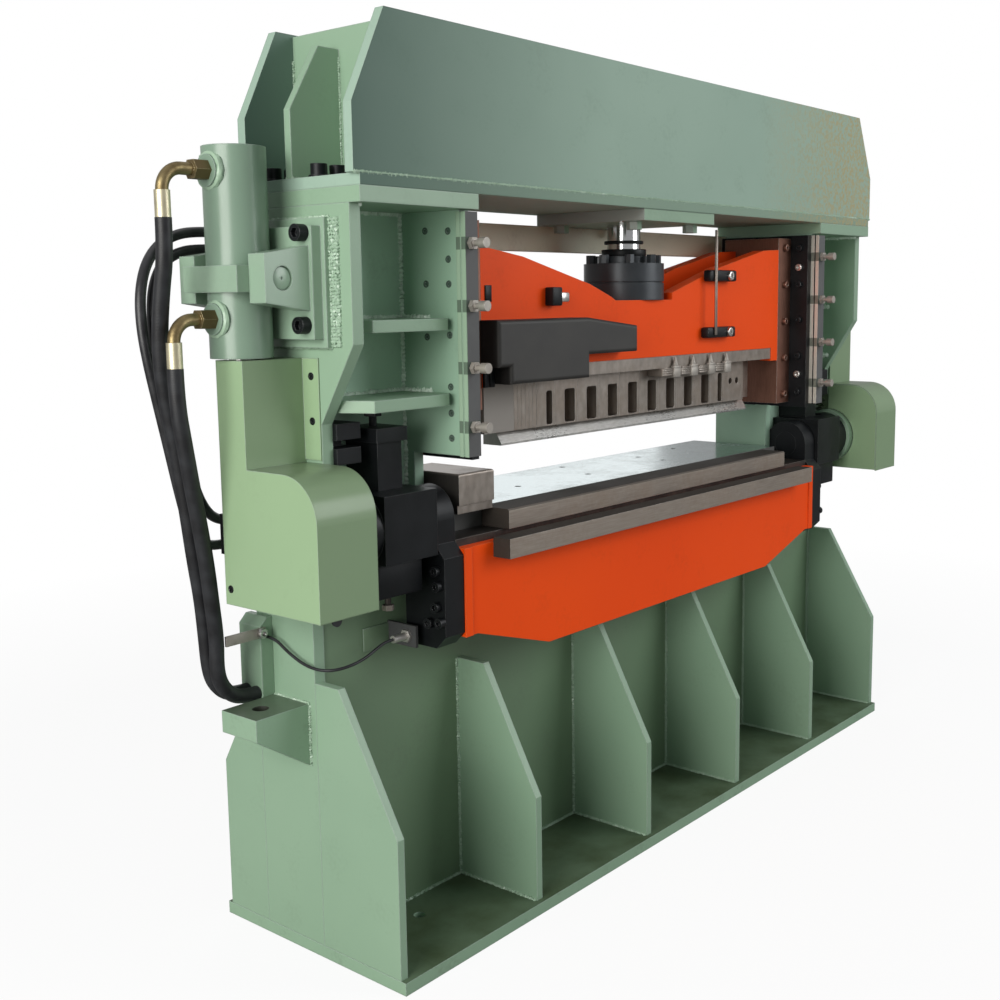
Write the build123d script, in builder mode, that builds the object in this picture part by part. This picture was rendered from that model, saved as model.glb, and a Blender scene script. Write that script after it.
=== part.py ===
from build123d import *
import os
from math import acos, cos, pi, radians, sin, tan

os.makedirs("parts", exist_ok=True)

# Frame of the part: x along the machine, front towards -y, z up, origin under the middle of the base

# Clearances
slide_clearance = 0.3
shaft_clearance = 0.05
seat_clearance = 0.1
bolt_clearance = 1.0

# Base weldment
base_length = 2400
base_depth = 620
base_thickness = 30
anchor_hole_diameter = 28
anchor_spacing_x = 1920
anchor_front_y = -115
anchor_rear_y = 225
rib_thickness = 20
rib_pitch = 480
rib_count = 4
rib_margin = 14
rib_nose_z = 295
rib_slant_run = 166
rib_top_z = 606
rear_rib_top_z = 560
end_rib_nose_z = 351
end_rib_slant_run = 175
end_rib_top_z = 656
end_rib_rear_z = 400
end_rib_rear_top_z = 640
long_plate_thickness = 20
front_plate_y = -40
bed_top_z = 910
bed_thickness = 30

# Columns
column_width = 361
side_plate_thickness = 30
inner_plate_thickness = 30
column_front_y = -205
column_rear_y = 153
column_low_front_y = -45
column_step_y = -98
column_step_z = 1150
column_slope_low_z = 1241
column_slope_high_z = 1414
column_ledge_z = 1146
column_top_z = 1705
web_front_y = -16
web_thickness = 20
shelf_tops = (1291, 1463)
shelf_thickness = 27
shelf_front_y = -185
right_shelf_front_y = -110
shelf_corner = 45
head_plate_thickness = 34

# Top beam
beam_front_y = -238
beam_flange_inset = 2
beam_flange_thickness = 25
beam_plate_thickness = 25
beam_plate_setback = 3
beam_front_overhang = 13
beam_rear_overhang = -3
beam_plate_height = 336
beam_chamfer_run = 96
beam_chamfer_height = 197
diaphragm_thickness = 22
diaphragm_inset = 147
diaphragm_height = 331
gusset_thickness = 20
gusset_front_y = -26
gusset_height = 285
gusset_inset = 4
gusset_chamfer_run = 84
gusset_chamfer_height = 140
beam_top_drop = 10
beam_top_thickness = 20
beam_bolt_diameter = 24
beam_bolt_head = 36
beam_bolt_socket = 19
beam_bolt_socket_depth = 12
beam_bolt_insets = (32, 85)
beam_bolt_front_y = -80
beam_bolt_rear_y = 70
beam_washer_diameter = 44
beam_washer_thickness = 5
tie_bar_thickness = 33
tie_bar_low_z = 1636
tie_bar_height = 71

# Socket head bolts of the drive brackets
bolt_diameter = 24
bolt_head_diameter = 36
bolt_socket = 19
bolt_socket_depth = 12

# Table
table_half_length = 800
table_front_y = -101
table_rear_y = 219
table_top_z = 997
table_hole_diameter = 18
table_hole_depth = 40
table_holes = ((-23, 170), (-98, 16), (303, 117), (287, 11), (-423, 143), (-398, 30), (560, 150), (-590, 20))

# Side stop for the sheet at the left end of the table
stop_outer_x = -828
stop_inner_x = -702
stop_front_y = -150
stop_rear_y = 60
stop_foot_height = 21
stop_top_z = 1094
stop_round = 6

# Fold axis, shafts and bearings
axis_y = -103
axis_z = 1000
shaft_diameter = 80
shaft_end_x = 1345
bush_diameter = 100
eye_radius = 95
housing_inner_x = 945
housing_outer_x = 1110
housing_front_y = -190
housing_low_z = 925
housing_top_z = 1080
ring_radius = 85
bush_lip = 5

# Housing adjusters
wedge_inner_x = 985
wedge_outer_x = 1060
wedge_front_y = -120
wedge_top_z = 1190
wedge_cap_lip = 10
wedge_cap_height = 32
wedge_screw_diameter = 18
wedge_screw_top_z = 1245
wedge_head_height = 13
key_inner_x = 1100
key_front_y = -110
key_low_z = 1150
key_plate_height = 36
key_gap = 18
key_post_width = 40

# Fold beam
apron_half_length = 875
apron_front_y = -205
apron_thickness = 25
apron_top_z = 930
apron_end_z = 717
apron_low_z = 636
apron_slant_outer_x = 830
apron_slant_inner_x = 560
cheek_width = 25
cheek_proud = 4
core_rear_y = -120
core_low_z = 740
seat_rear_y = -105
seat_height = 18
blade_half_length = 698
blade_front_y = -194
blade_chamfer = 4
blade_top_z = 997
lower_bar_half_length = 770
lower_bar_front_y = -258
lower_bar_low_z = 893
lower_bar_height = 48
arm_thickness = 66
arm_rear_y = -77
arm_low_z = 700
arm_shoulder_z = 915
arm_chamfer = 30
arm_head_radius = 75
arm_bolt_diameter = 16
arm_bolt_head = 24
arm_bolt_places = ((-183, 885), (-188, 850), (-183, 800), (-195, 765), (-160, 760))

# Rack drive
drive_x = 1310
drive_y = 22
gear_module = 6
gear_dedendum = 1.25
gear_teeth = 30
gear_width = 50
pressure_angle = 20
tooth_backlash = 0.6
flank_steps = 4
rack_low_z = 945
rack_top_z = 1200
rack_back_y = 45
fold_angle = 90
rod_diameter = 56
piston_diameter = 100
piston_height = 40
piston_low_z = 1740
barrel_diameter = 133
barrel_low_z = 1387
barrel_top_z = 1824
barrel_gland = 40
barrel_cap = 30
guide_depth = 40
guide_low_z = 960
guide_rod_gap = 10
guide_outer_x = 1340

# Trunnion brackets
pad_thickness = 15
pad_front_y = -143
pad_rear_y = 184
pad_low_z = 1407
pad_top_z = 1678
bracket_thickness = 25
bracket_margin_y = 12
bracket_margin_z = 18
arm_reach_x = 1355
trunnion_z = 1552
trunnion_arm_width = 52
trunnion_arm_tip = 50
trunnion_arm_root = 67
collar_half_width = 91
collar_height = 55
collar_inner_x = 1244
collar_outer_x = 1385
pin_diameter = 50
pin_recess = 7
bracket_bolt_y = (-106, 147)
bracket_bolt_z = (1455, 1646)

# Ports, fittings and hoses
port_z = (1470, 1772)
port_boss_diameter = 66
port_boss_length = 6
nut_across = 38
nut_length = 36
elbow_diameter = 26
elbow_radius = 45
hose_x = (1478, 1488)
ferrule_diameter = 32
ferrule_length = (53, 54)
hose_diameter = 34
conduit_diameter = 28
conduit_groove = 1.6
conduit_bore = 20
conduit_rib_pitch = 9
conduit_rib_rise = 0.2
conduit_rib_crest = 0.6
conduit_rib_fall = 0.8
cable_diameter = 7

# Covers over the racks and pinions
cover_outer_x = 1362
cover_wall = 3
cover_front_y = {-1: -260, 1: -288}
cover_rear_y = 45
cover_low_z = {-1: 858, 1: 882}
cover_mid_z = {-1: 1157, 1: 1187}
cover_top_z = 1384
cover_neck_y = {-1: -44, 1: -105}
cover_corner = 100
cover_rod_gap = 4
strip_front_y = -96
strip_low_z = 1163

# Lug, hose block, conduit block and proximity switch
lug_length = 150
lug_front_y = -23
lug_rear_y = 97
lug_top_z = 605
lug_thickness = 50
lug_hole_diameter = 36
lug_hole_x = 1290
lug_gusset_low_z = 458
lug_gusset_thickness = 20
hose_block_x = 1235
hose_block_low_z = 560
hose_block_top_z = 790
hose_block_overhang = 20
hose_block_chamfer = 20
conduit_block_inner_x = 1140
conduit_block_depth = 80
conduit_block_z = ((930, 1035), (1600, 1682))
switch_diameter = 18
switch_start_x = -1015
switch_end_x = -948
switch_y = -106
switch_z = 726
switch_nut = 28
switch_nut_length = 8
switch_plate_x = -968
switch_plate_thickness = 8
switch_plate_height = 52

# Clamp cylinder in the top beam
ram_y = -42.5
mount_half_width = 177
mount_front_y = -235
mount_rear_y = 133
mount_low_z = 1708
mount_bolt_head = 36
mount_bolt_height = 22
mount_bolt_x = 140
mount_bolt_y = 125
cylinder_bore = 160
cylinder_diameter = 240
cylinder_flange_diameter = 300
cylinder_flange_height = 36
cylinder_spigot_diameter = 198
cylinder_gland_diameter = 128
cylinder_top_z = 2055
cylinder_cap = 25
cylinder_floor_z = 1790
ram_diameter = 95
ram_low_z = 1620
ram_piston_low_z = 1985
ram_piston_height = 40
coupling_ring_diameter = 150
coupling_ring_low_z = 1600
coupling_diameter = 230
coupling_groove_z = 1545
coupling_groove = 4
coupling_bolt_count = 8
coupling_bolt_circle = 190
coupling_bolt_head = 24
coupling_bolt_height = 24

# Clamp beam and guides
clamp_travel = 139
clamp_half_length = 732
clamp_plate_thickness = 40
clamp_front_y = -143
clamp_low_z = 1335
clamp_top_right = ((100, 1517), (365, 1592), (635, 1648), (clamp_half_length, 1652))
clamp_top_left = ((-clamp_half_length, 1631), (-572, 1608), (-296, 1541), (-200, 1507))
notch_floor_z = 1497
notch_left_x = -180
notch_right_x = 100
saddle_half_length = 300
saddle_thickness = 40
clamp_end_z = 1293
slide_width = 83
slide_low_z = {-1: 1240, 1: 1150}
slide_top_z = 1690
tongue_width = 60
tongue_depth = 12
rail_low_z = 1134
rail_top_z = 1700
gib_bar_thickness = 12
gib_bar_gap = 4
gib_overhang = 12
gib_screw_z = (1215, 1350, 1490, 1630)
gib_spacer_diameter = 24
gib_nut_across = 26
gib_nut_length = 10
gib_shank_diameter = 14
gib_shank_length = 26
gib_head_diameter = 24
gib_head_length = 20

# Clamping tools
tool_front_y = -97
tool_depth = 40
holder_front_y = -141
holder_rear_y = -50
holder_half_length = 690
holder_height = 35
segment_low_z = 1172
segment_pitch = 98
window_shift = 15
segment_count = 8
segment_gap = 0.5
end_segment_width = 78
window_width = 45
narrow_window_width = 25
window_low = 4
window_top_z = 1265
window_corner = 7
strip_count = 6
strip_width = 15
end_block_width = 115
end_plate_width = 120
end_plate_hole = 20
nose_half_length = 612
nose_low_z = 1138
nose_land = 6
nose_lean = 18
nose_depth = 60
drive_unit_left_x = -735
drive_unit_split_x = -375
drive_unit_right_x = -158
drive_unit_front_y = -203
drive_unit_low_z = 1342
drive_unit_foot_z = 1300
drive_unit_foot_left_x = -690
drive_unit_top_z = 1455
drive_unit_top_taper = 25
drive_unit_taper = 18
drive_unit_round = 10

# Places that follow from the sizes above
half_length = base_length / 2
rib_front_y = -base_depth / 2 + rib_margin
rib_rear_y = base_depth / 2 - rib_margin
column_inner_x = half_length - column_width
inner_plate_x = column_inner_x + inner_plate_thickness
side_inner_x = half_length - side_plate_thickness
flange_low_z = column_top_z + head_plate_thickness
flange_top_z = flange_low_z + beam_flange_thickness
beam_top_z = flange_top_z + beam_plate_height
beam_rear_y = column_rear_y
beam_front_inner_y = beam_front_y + beam_plate_setback + beam_plate_thickness
beam_rear_inner_y = beam_rear_y - beam_plate_setback - beam_plate_thickness
arm_inner_x = apron_half_length
arm_outer_x = arm_inner_x + arm_thickness
core_front_y = apron_front_y + apron_thickness
blade_low_z = apron_top_z + seat_height
pitch_radius = gear_module * gear_teeth / 2
pitch_line_y = axis_y + pitch_radius
rack_travel = pitch_radius * radians(fold_angle)
guide_top_z = rack_top_z - rack_travel - guide_rod_gap
bracket_face_x = half_length + pad_thickness + bracket_thickness
barrel_radius = barrel_diameter / 2
slide_outer_x = clamp_half_length + slide_width
clamp_rear_y = 2 * ram_y - clamp_front_y
holder_low_z = clamp_low_z - holder_height
hose_block_front_y = lug_rear_y
sides = (-1, 1)


def slab(x0, x1, y0, y1, z0, z1, mode=Mode.ADD):
    # A block given by its two corners
    with Locations(((x0 + x1) / 2, (y0 + y1) / 2, (z0 + z1) / 2)):
        Box(abs(x1 - x0), abs(y1 - y0), abs(z1 - z0), mode=mode)


def plate_across(x0, x1, points, mode=Mode.ADD):
    # A plate with a y-z outline, from x0 to x1
    with BuildSketch(Plane.YZ.offset(x0)) as outline:
        Polygon(*points)
    extrude(outline.sketch, amount=x1 - x0, mode=mode)


def plate_along(y0, y1, points, mode=Mode.ADD):
    # A plate with an x-z outline, from y0 to y1
    with BuildSketch(Plane.XZ.offset(-y0)) as outline:
        Polygon(*points)
    extrude(outline.sketch, amount=y0 - y1, mode=mode)


def rod_x(x0, x1, y, z, diameter, mode=Mode.ADD):
    # A round bar along x
    with BuildSketch(Plane.YZ.offset(x0)) as section:
        with Locations((y, z)):
            Circle(diameter / 2)
    extrude(section.sketch, amount=x1 - x0, mode=mode)


def rod_y(y0, y1, x, z, diameter, mode=Mode.ADD):
    # A round bar along y
    with BuildSketch(Plane.XZ.offset(-y0)) as section:
        with Locations((x, z)):
            Circle(diameter / 2)
    extrude(section.sketch, amount=y0 - y1, mode=mode)


def rod_z(z0, z1, x, y, diameter, mode=Mode.ADD):
    # A round bar along z
    with BuildSketch(Plane.XY.offset(z0)) as section:
        with Locations((x, y)):
            Circle(diameter / 2)
    extrude(section.sketch, amount=z1 - z0, mode=mode)


def hex_x(x0, x1, y, z, across, mode=Mode.ADD):
    # A hexagon along x
    with BuildSketch(Plane.YZ.offset(x0)) as section:
        with Locations((y, z)):
            RegularPolygon(across / 2, 6, major_radius=False)
    extrude(section.sketch, amount=x1 - x0, mode=mode)


def hex_z(z0, z1, x, y, across, mode=Mode.ADD):
    # A hexagon along z
    with BuildSketch(Plane.XY.offset(z0)) as section:
        with Locations((x, y)):
            RegularPolygon(across / 2, 6, major_radius=False)
    extrude(section.sketch, amount=z1 - z0, mode=mode)


def save(builder, name):
    builder.part.label = name
    export_step(builder.part, f"parts/{name}.step")


# Base plate with its anchor holes
anchor_places = [
    (x, y)
    for x in (-anchor_spacing_x / 2, 0, anchor_spacing_x / 2)
    for y in (anchor_front_y, anchor_rear_y)
]
with BuildPart() as base_plate:
    slab(-half_length, half_length, -base_depth / 2, base_depth / 2, 0, base_thickness)
    for x, y in anchor_places:
        rod_z(0, base_thickness, x, y, anchor_hole_diameter, mode=Mode.SUBTRACT)
save(base_plate, "base_plate")

# Front and rear plates of the base
long_plate_top_z = bed_top_z - bed_thickness
with BuildPart() as base_long_plates:
    for y in (front_plate_y, column_rear_y - long_plate_thickness):
        slab(-side_inner_x, side_inner_x, y, y + long_plate_thickness, base_thickness, long_plate_top_z)
save(base_long_plates, "base_long_plates")

# Inner ribs in front of and behind the long plates
with BuildPart() as base_ribs:
    for step in range(rib_count):
        rib_x = (step - (rib_count - 1) / 2) * rib_pitch - rib_thickness / 2
        plate_across(rib_x, rib_x + rib_thickness, [
            (rib_front_y, base_thickness),
            (front_plate_y, base_thickness),
            (front_plate_y, rib_top_z),
            (rib_front_y + rib_slant_run, rib_top_z),
            (rib_front_y, rib_nose_z),
        ])
        plate_across(rib_x, rib_x + rib_thickness, [
            (rib_rear_y, base_thickness),
            (column_rear_y, base_thickness),
            (column_rear_y, rear_rib_top_z),
            (rib_rear_y, rib_nose_z),
        ])
save(base_ribs, "base_ribs")

# End ribs, flush with the outer faces of the columns
with BuildPart() as end_ribs:
    for side in sides:
        plate_across(side * (half_length - rib_thickness), side * half_length, [
            (rib_front_y, base_thickness),
            (column_low_front_y, base_thickness),
            (column_low_front_y, end_rib_top_z),
            (rib_front_y + end_rib_slant_run, end_rib_top_z),
            (rib_front_y, end_rib_nose_z),
        ])
        plate_across(side * (half_length - rib_thickness), side * half_length, [
            (rib_rear_y, base_thickness),
            (column_rear_y, base_thickness),
            (column_rear_y, end_rib_rear_top_z),
            (rib_rear_y, end_rib_rear_z),
        ])
save(end_ribs, "end_ribs")

# Outer side plates of the columns, each with the eye of a shaft bearing
with BuildPart() as column_side_plates:
    for side in sides:
        plate_across(side * side_inner_x, side * half_length, [
            (column_rear_y, base_thickness),
            (column_rear_y, column_top_z),
            (column_front_y, column_top_z),
            (column_front_y, column_slope_high_z),
            (column_step_y, column_slope_low_z),
            (column_step_y, column_step_z),
            (column_low_front_y, column_step_z),
            (column_low_front_y, base_thickness),
        ])
        rod_x(side * side_inner_x, side * half_length, axis_y, axis_z, 2 * eye_radius)
        rod_x(side * side_inner_x, side * half_length, axis_y, axis_z,
              bush_diameter + 2 * seat_clearance, mode=Mode.SUBTRACT)
save(column_side_plates, "column_side_plates")

# Inner plates of the columns
with BuildPart() as column_inner_plates:
    for side in sides:
        plate_across(side * column_inner_x, side * inner_plate_x, [
            (column_low_front_y, bed_top_z),
            (column_rear_y, bed_top_z),
            (column_rear_y, column_top_z),
            (column_front_y, column_top_z),
            (column_front_y, column_ledge_z),
            (column_low_front_y, column_ledge_z),
        ])
save(column_inner_plates, "column_inner_plates")

# Webs between the inner and outer plates
with BuildPart() as column_webs:
    for side in sides:
        slab(side * inner_plate_x, side * side_inner_x, web_front_y, web_front_y + web_thickness,
             bed_top_z, column_top_z)
save(column_webs, "column_webs")

# Shelves that stiffen the columns, their outer front corners cut off
with BuildPart() as column_shelves:
    for side, front_y in ((-1, shelf_front_y), (1, right_shelf_front_y)):
        for top_z in shelf_tops:
            with BuildSketch(Plane.XY.offset(top_z - shelf_thickness)) as shelf:
                Polygon(
                    (side * inner_plate_x, web_front_y),
                    (side * inner_plate_x, front_y + shelf_corner / 2),
                    (side * (inner_plate_x + shelf_corner / 2), front_y),
                    (side * (side_inner_x - shelf_corner), front_y),
                    (side * side_inner_x, front_y + 2 * shelf_corner),
                    (side * side_inner_x, web_front_y),
                )
            extrude(shelf.sketch, amount=shelf_thickness)
save(column_shelves, "column_shelves")

# Head plates on the columns
with BuildPart() as column_head_plates:
    for side in sides:
        slab(side * column_inner_x, side * half_length, beam_front_y, column_rear_y, column_top_z, flange_low_z)
        for inset in beam_bolt_insets:
            for y in (beam_bolt_front_y, beam_bolt_rear_y):
                rod_z(column_top_z, flange_low_z, side * (half_length - inset), y,
                      beam_bolt_diameter + 2 * bolt_clearance, mode=Mode.SUBTRACT)
save(column_head_plates, "column_head_plates")

# Bed plate over the base
with BuildPart() as bed_plate:
    slab(-side_inner_x, side_inner_x, front_plate_y, column_rear_y, long_plate_top_z, bed_top_z)
save(bed_plate, "bed_plate")

# Polished table with its tapped holes
with BuildPart() as table_plate:
    slab(-table_half_length, table_half_length, table_front_y, table_rear_y, bed_top_z, table_top_z)
    for x, y in table_holes:
        rod_z(table_top_z - table_hole_depth, table_top_z, x, y, table_hole_diameter, mode=Mode.SUBTRACT)
save(table_plate, "table_plate")

# Side stop on the left end of the table: a block on a foot
with BuildPart() as side_stop:
    slab(stop_outer_x, stop_inner_x, stop_front_y, stop_rear_y, table_top_z, stop_top_z)
    fillet(side_stop.faces().sort_by(Axis.Z)[-1].edges(), stop_round)
    slab(stop_outer_x, stop_inner_x, stop_front_y, stop_front_y + stop_round, table_top_z,
         table_top_z + stop_foot_height, mode=Mode.SUBTRACT)
save(side_stop, "side_stop")

# Bottom flange of the top beam, bored for the clamp cylinder and the column bolts
beam_bolt_places = [
    (side * (half_length - inset), y)
    for side in sides
    for inset in beam_bolt_insets
    for y in (beam_bolt_front_y, beam_bolt_rear_y)
]
with BuildPart() as beam_flange:
    slab(-half_length + beam_flange_inset, half_length - beam_flange_inset, beam_front_y, beam_rear_y,
         flange_low_z, flange_top_z)
    rod_z(flange_low_z, flange_top_z, 0, ram_y, cylinder_spigot_diameter + 2 * seat_clearance,
          mode=Mode.SUBTRACT)
    for x, y in beam_bolt_places:
        rod_z(flange_low_z, flange_top_z, x, y, beam_bolt_diameter + 2 * bolt_clearance, mode=Mode.SUBTRACT)
save(beam_flange, "beam_flange")

# Front and rear plates of the top beam, their upper corners cut off
def beam_outline(beam_half):
    return [
        (-beam_half, flange_top_z),
        (beam_half, flange_top_z),
        (beam_half, beam_top_z - beam_chamfer_height),
        (beam_half - beam_chamfer_run, beam_top_z),
        (-beam_half + beam_chamfer_run, beam_top_z),
        (-beam_half, beam_top_z - beam_chamfer_height),
    ]


with BuildPart() as beam_side_plates:
    plate_along(beam_front_y + beam_plate_setback, beam_front_inner_y,
                beam_outline(half_length + beam_front_overhang))
    plate_along(beam_rear_inner_y, beam_rear_y - beam_plate_setback,
                beam_outline(half_length + beam_rear_overhang))
save(beam_side_plates, "beam_side_plates")

# End diaphragms of the beam and the gussets outside them
diaphragm_x = half_length - diaphragm_inset
gusset_outer_x = half_length - gusset_inset
gusset_top_z = flange_top_z + gusset_height
with BuildPart() as beam_end_plates:
    for side in sides:
        slab(side * (diaphragm_x - diaphragm_thickness), side * diaphragm_x,
             beam_front_inner_y, beam_rear_inner_y, flange_top_z, flange_top_z + diaphragm_height)
        plate_along(gusset_front_y, gusset_front_y + gusset_thickness, [
            (side * diaphragm_x, flange_top_z),
            (side * gusset_outer_x, flange_top_z),
            (side * gusset_outer_x, gusset_top_z - gusset_chamfer_height),
            (side * (gusset_outer_x - gusset_chamfer_run), gusset_top_z),
            (side * diaphragm_x, gusset_top_z),
        ])
save(beam_end_plates, "beam_end_plates")

# Recessed top plate of the beam
with BuildPart() as beam_top_plate:
    slab(-diaphragm_x + diaphragm_thickness, diaphragm_x - diaphragm_thickness,
         beam_front_inner_y, beam_rear_inner_y,
         beam_top_z - beam_top_drop - beam_top_thickness, beam_top_z - beam_top_drop)
save(beam_top_plate, "beam_top_plate")

# Socket head bolts from the beam flange into the column heads
beam_washer_top_z = flange_top_z + beam_washer_thickness
beam_bolt_top_z = beam_washer_top_z + beam_bolt_diameter
with BuildPart() as beam_bolts:
    for x, y in beam_bolt_places:
        rod_z(column_top_z, flange_top_z, x, y, beam_bolt_diameter)
        rod_z(flange_top_z, beam_washer_top_z, x, y, beam_washer_diameter)
        rod_z(beam_washer_top_z, beam_bolt_top_z, x, y, beam_bolt_head)
        hex_z(beam_bolt_top_z - beam_bolt_socket_depth, beam_bolt_top_z, x, y, beam_bolt_socket, mode=Mode.SUBTRACT)
save(beam_bolts, "beam_bolts")

# Cross bar between the columns at the rear
with BuildPart() as rear_tie_bar:
    slab(-column_inner_x, column_inner_x, column_rear_y - tie_bar_thickness, column_rear_y,
         tie_bar_low_z, tie_bar_low_z + tie_bar_height)
save(rear_tie_bar, "rear_tie_bar")

# Block under the beam that carries the clamp cylinder, with the heads of its bolts
mount_middle_y = (mount_front_y + mount_rear_y) / 2
with BuildPart() as cylinder_mount:
    slab(-mount_half_width, mount_half_width, mount_front_y, mount_rear_y, mount_low_z, flange_low_z)
    rod_z(mount_low_z, flange_low_z, 0, ram_y, cylinder_gland_diameter + 2 * seat_clearance, mode=Mode.SUBTRACT)
    for x in (-mount_bolt_x, mount_bolt_x):
        for y in (mount_middle_y - mount_bolt_y, mount_middle_y + mount_bolt_y):
            hex_z(mount_low_z - mount_bolt_height, mount_low_z, x, y, mount_bolt_head)
save(cylinder_mount, "cylinder_mount")

# Clamp cylinder inside the beam: flange, barrel, spigot and gland turned in one piece
with BuildPart() as clamp_cylinder:
    rod_z(mount_low_z, flange_low_z, 0, ram_y, cylinder_gland_diameter)
    rod_z(flange_low_z, flange_top_z, 0, ram_y, cylinder_spigot_diameter)
    rod_z(flange_top_z, flange_top_z + cylinder_flange_height, 0, ram_y, cylinder_flange_diameter)
    rod_z(flange_top_z, cylinder_top_z, 0, ram_y, cylinder_diameter)
    rod_z(cylinder_floor_z, cylinder_top_z - cylinder_cap, 0, ram_y, cylinder_bore, mode=Mode.SUBTRACT)
    rod_z(mount_low_z, cylinder_floor_z, 0, ram_y, ram_diameter + 2 * shaft_clearance, mode=Mode.SUBTRACT)
save(clamp_cylinder, "clamp_cylinder")

# Guide rails on the inner plates, grooved for the tongues of the slides
groove_half = tongue_width / 2 + slide_clearance
rail_inner_x = slide_outer_x + slide_clearance
rail_rear_y = 2 * ram_y - column_front_y
with BuildPart() as guide_rails:
    for side in sides:
        slab(side * rail_inner_x, side * column_inner_x, column_front_y, rail_rear_y, rail_low_z, rail_top_z)
        slab(side * rail_inner_x, side * (rail_inner_x + tongue_depth), ram_y - groove_half, ram_y + groove_half,
             rail_low_z, rail_top_z, mode=Mode.SUBTRACT)
save(guide_rails, "guide_rails")

# Two gib bars in front of each inner plate
gib_rear_y = column_front_y - gib_bar_thickness
gib_front_y = gib_rear_y - gib_bar_gap - gib_bar_thickness
gib_outer_x = inner_plate_x + gib_overhang
with BuildPart() as gib_bars:
    for side in sides:
        slab(side * column_inner_x, side * gib_outer_x, gib_rear_y, column_front_y, column_ledge_z, rail_top_z)
        slab(side * column_inner_x, side * gib_outer_x, gib_front_y, gib_front_y + gib_bar_thickness,
             column_ledge_z, rail_top_z)
save(gib_bars, "gib_bars")

# Gib screws: a spacer nut between the bars, a lock nut, a shank and a round head in front
gib_screw_x = (column_inner_x + gib_outer_x) / 2
gib_nut_y = gib_front_y - gib_nut_length
gib_head_y = gib_front_y - gib_shank_length
with BuildPart() as gib_screws:
    for side in sides:
        for z in gib_screw_z:
            x = side * gib_screw_x
            rod_y(gib_rear_y - gib_bar_gap, gib_rear_y, x, z, gib_spacer_diameter)
            with BuildSketch(Plane.XZ.offset(-gib_front_y)) as lock_nut:
                with Locations((x, z)):
                    RegularPolygon(gib_nut_across / 2, 6, major_radius=False)
            extrude(lock_nut.sketch, amount=gib_nut_length)
            rod_y(gib_head_y, gib_nut_y, x, z, gib_shank_diameter)
            rod_y(gib_head_y - gib_head_length, gib_head_y, x, z, gib_head_diameter)
save(gib_screws, "gib_screws")

# Bearing housings on the webs, each with a ring towards the side plate
with BuildPart() as bearing_housings:
    for side in sides:
        slab(side * housing_inner_x, side * housing_outer_x, housing_front_y, web_front_y,
             housing_low_z, housing_top_z)
        rod_x(side * housing_outer_x, side * side_inner_x, axis_y, axis_z, 2 * ring_radius)
        rod_x(side * housing_inner_x, side * side_inner_x, axis_y, axis_z,
              bush_diameter + 2 * seat_clearance, mode=Mode.SUBTRACT)
save(bearing_housings, "bearing_housings")

# Bronze bushes of the fold shafts, one through each housing and one in each eye
bush_bore = shaft_diameter + 2 * shaft_clearance
with BuildPart() as shaft_bushes:
    for side in sides:
        for x0, x1 in ((housing_inner_x, side_inner_x - bush_lip), (side_inner_x, half_length + bush_lip)):
            rod_x(side * x0, side * x1, axis_y, axis_z, bush_diameter)
            rod_x(side * x0, side * x1, axis_y, axis_z, bush_bore, mode=Mode.SUBTRACT)
save(shaft_bushes, "shaft_bushes")

# Adjusters over the housings: a wedge block with its screw, and a key block beside it
wedge_x = (wedge_inner_x + wedge_outer_x) / 2
wedge_y = (wedge_front_y + web_front_y) / 2
wedge_cap_z = wedge_top_z + wedge_cap_height
key_x = (key_inner_x + side_inner_x) / 2
key_y = (key_front_y + web_front_y) / 2
key_second_z = key_low_z + key_plate_height + key_gap
key_top_z = key_second_z + key_plate_height
with BuildPart() as housing_adjusters:
    for side in sides:
        slab(side * wedge_inner_x, side * wedge_outer_x, wedge_front_y, web_front_y, housing_top_z, wedge_top_z)
        slab(side * (wedge_inner_x - wedge_cap_lip), side * (wedge_outer_x + wedge_cap_lip),
             wedge_front_y - wedge_cap_lip, web_front_y, wedge_top_z, wedge_cap_z)
        rod_z(wedge_cap_z, wedge_screw_top_z, side * wedge_x, wedge_y, wedge_screw_diameter)
        hex_z(wedge_screw_top_z, wedge_screw_top_z + wedge_head_height, side * wedge_x, wedge_y,
              2 * wedge_screw_diameter)
        for low_z in (key_low_z, key_second_z):
            slab(side * key_inner_x, side * side_inner_x, key_front_y, web_front_y, low_z, low_z + key_plate_height)
        slab(side * (key_x - key_post_width / 2), side * (key_x + key_post_width / 2), key_y, web_front_y,
             key_low_z, key_top_z)
save(housing_adjusters, "housing_adjusters")

# Welded pads and trunnion brackets of the drive cylinders
bracket_front_y = pad_front_y + bracket_margin_y
bracket_rear_y = pad_rear_y - bracket_margin_y
bracket_low_z = pad_low_z + bracket_margin_z
bracket_top_z = pad_top_z - bracket_margin_z
arm_front_starts = (drive_y - collar_half_width - trunnion_arm_width, drive_y + collar_half_width)
bracket_bolt_places = [(y, z) for y in bracket_bolt_y for z in bracket_bolt_z]
with BuildPart() as trunnion_brackets:
    for side in sides:
        pad_x = side * (half_length + pad_thickness)
        slab(side * half_length, pad_x, pad_front_y, pad_rear_y, pad_low_z, pad_top_z)
        slab(pad_x, side * bracket_face_x, bracket_front_y, bracket_rear_y, bracket_low_z, bracket_top_z)
        for y in arm_front_starts:
            plate_along(y, y + trunnion_arm_width, [
                (side * bracket_face_x, trunnion_z - trunnion_arm_root),
                (side * arm_reach_x, trunnion_z - trunnion_arm_tip),
                (side * arm_reach_x, trunnion_z + trunnion_arm_tip),
                (side * bracket_face_x, trunnion_z + trunnion_arm_root),
            ])
            rod_y(y, y + trunnion_arm_width, side * drive_x, trunnion_z, pin_diameter + 2 * seat_clearance,
                  mode=Mode.SUBTRACT)
        for y, z in bracket_bolt_places:
            rod_x(side * half_length, side * bracket_face_x, y, z, bolt_diameter + 2 * bolt_clearance,
                  mode=Mode.SUBTRACT)
save(trunnion_brackets, "trunnion_brackets")

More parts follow.
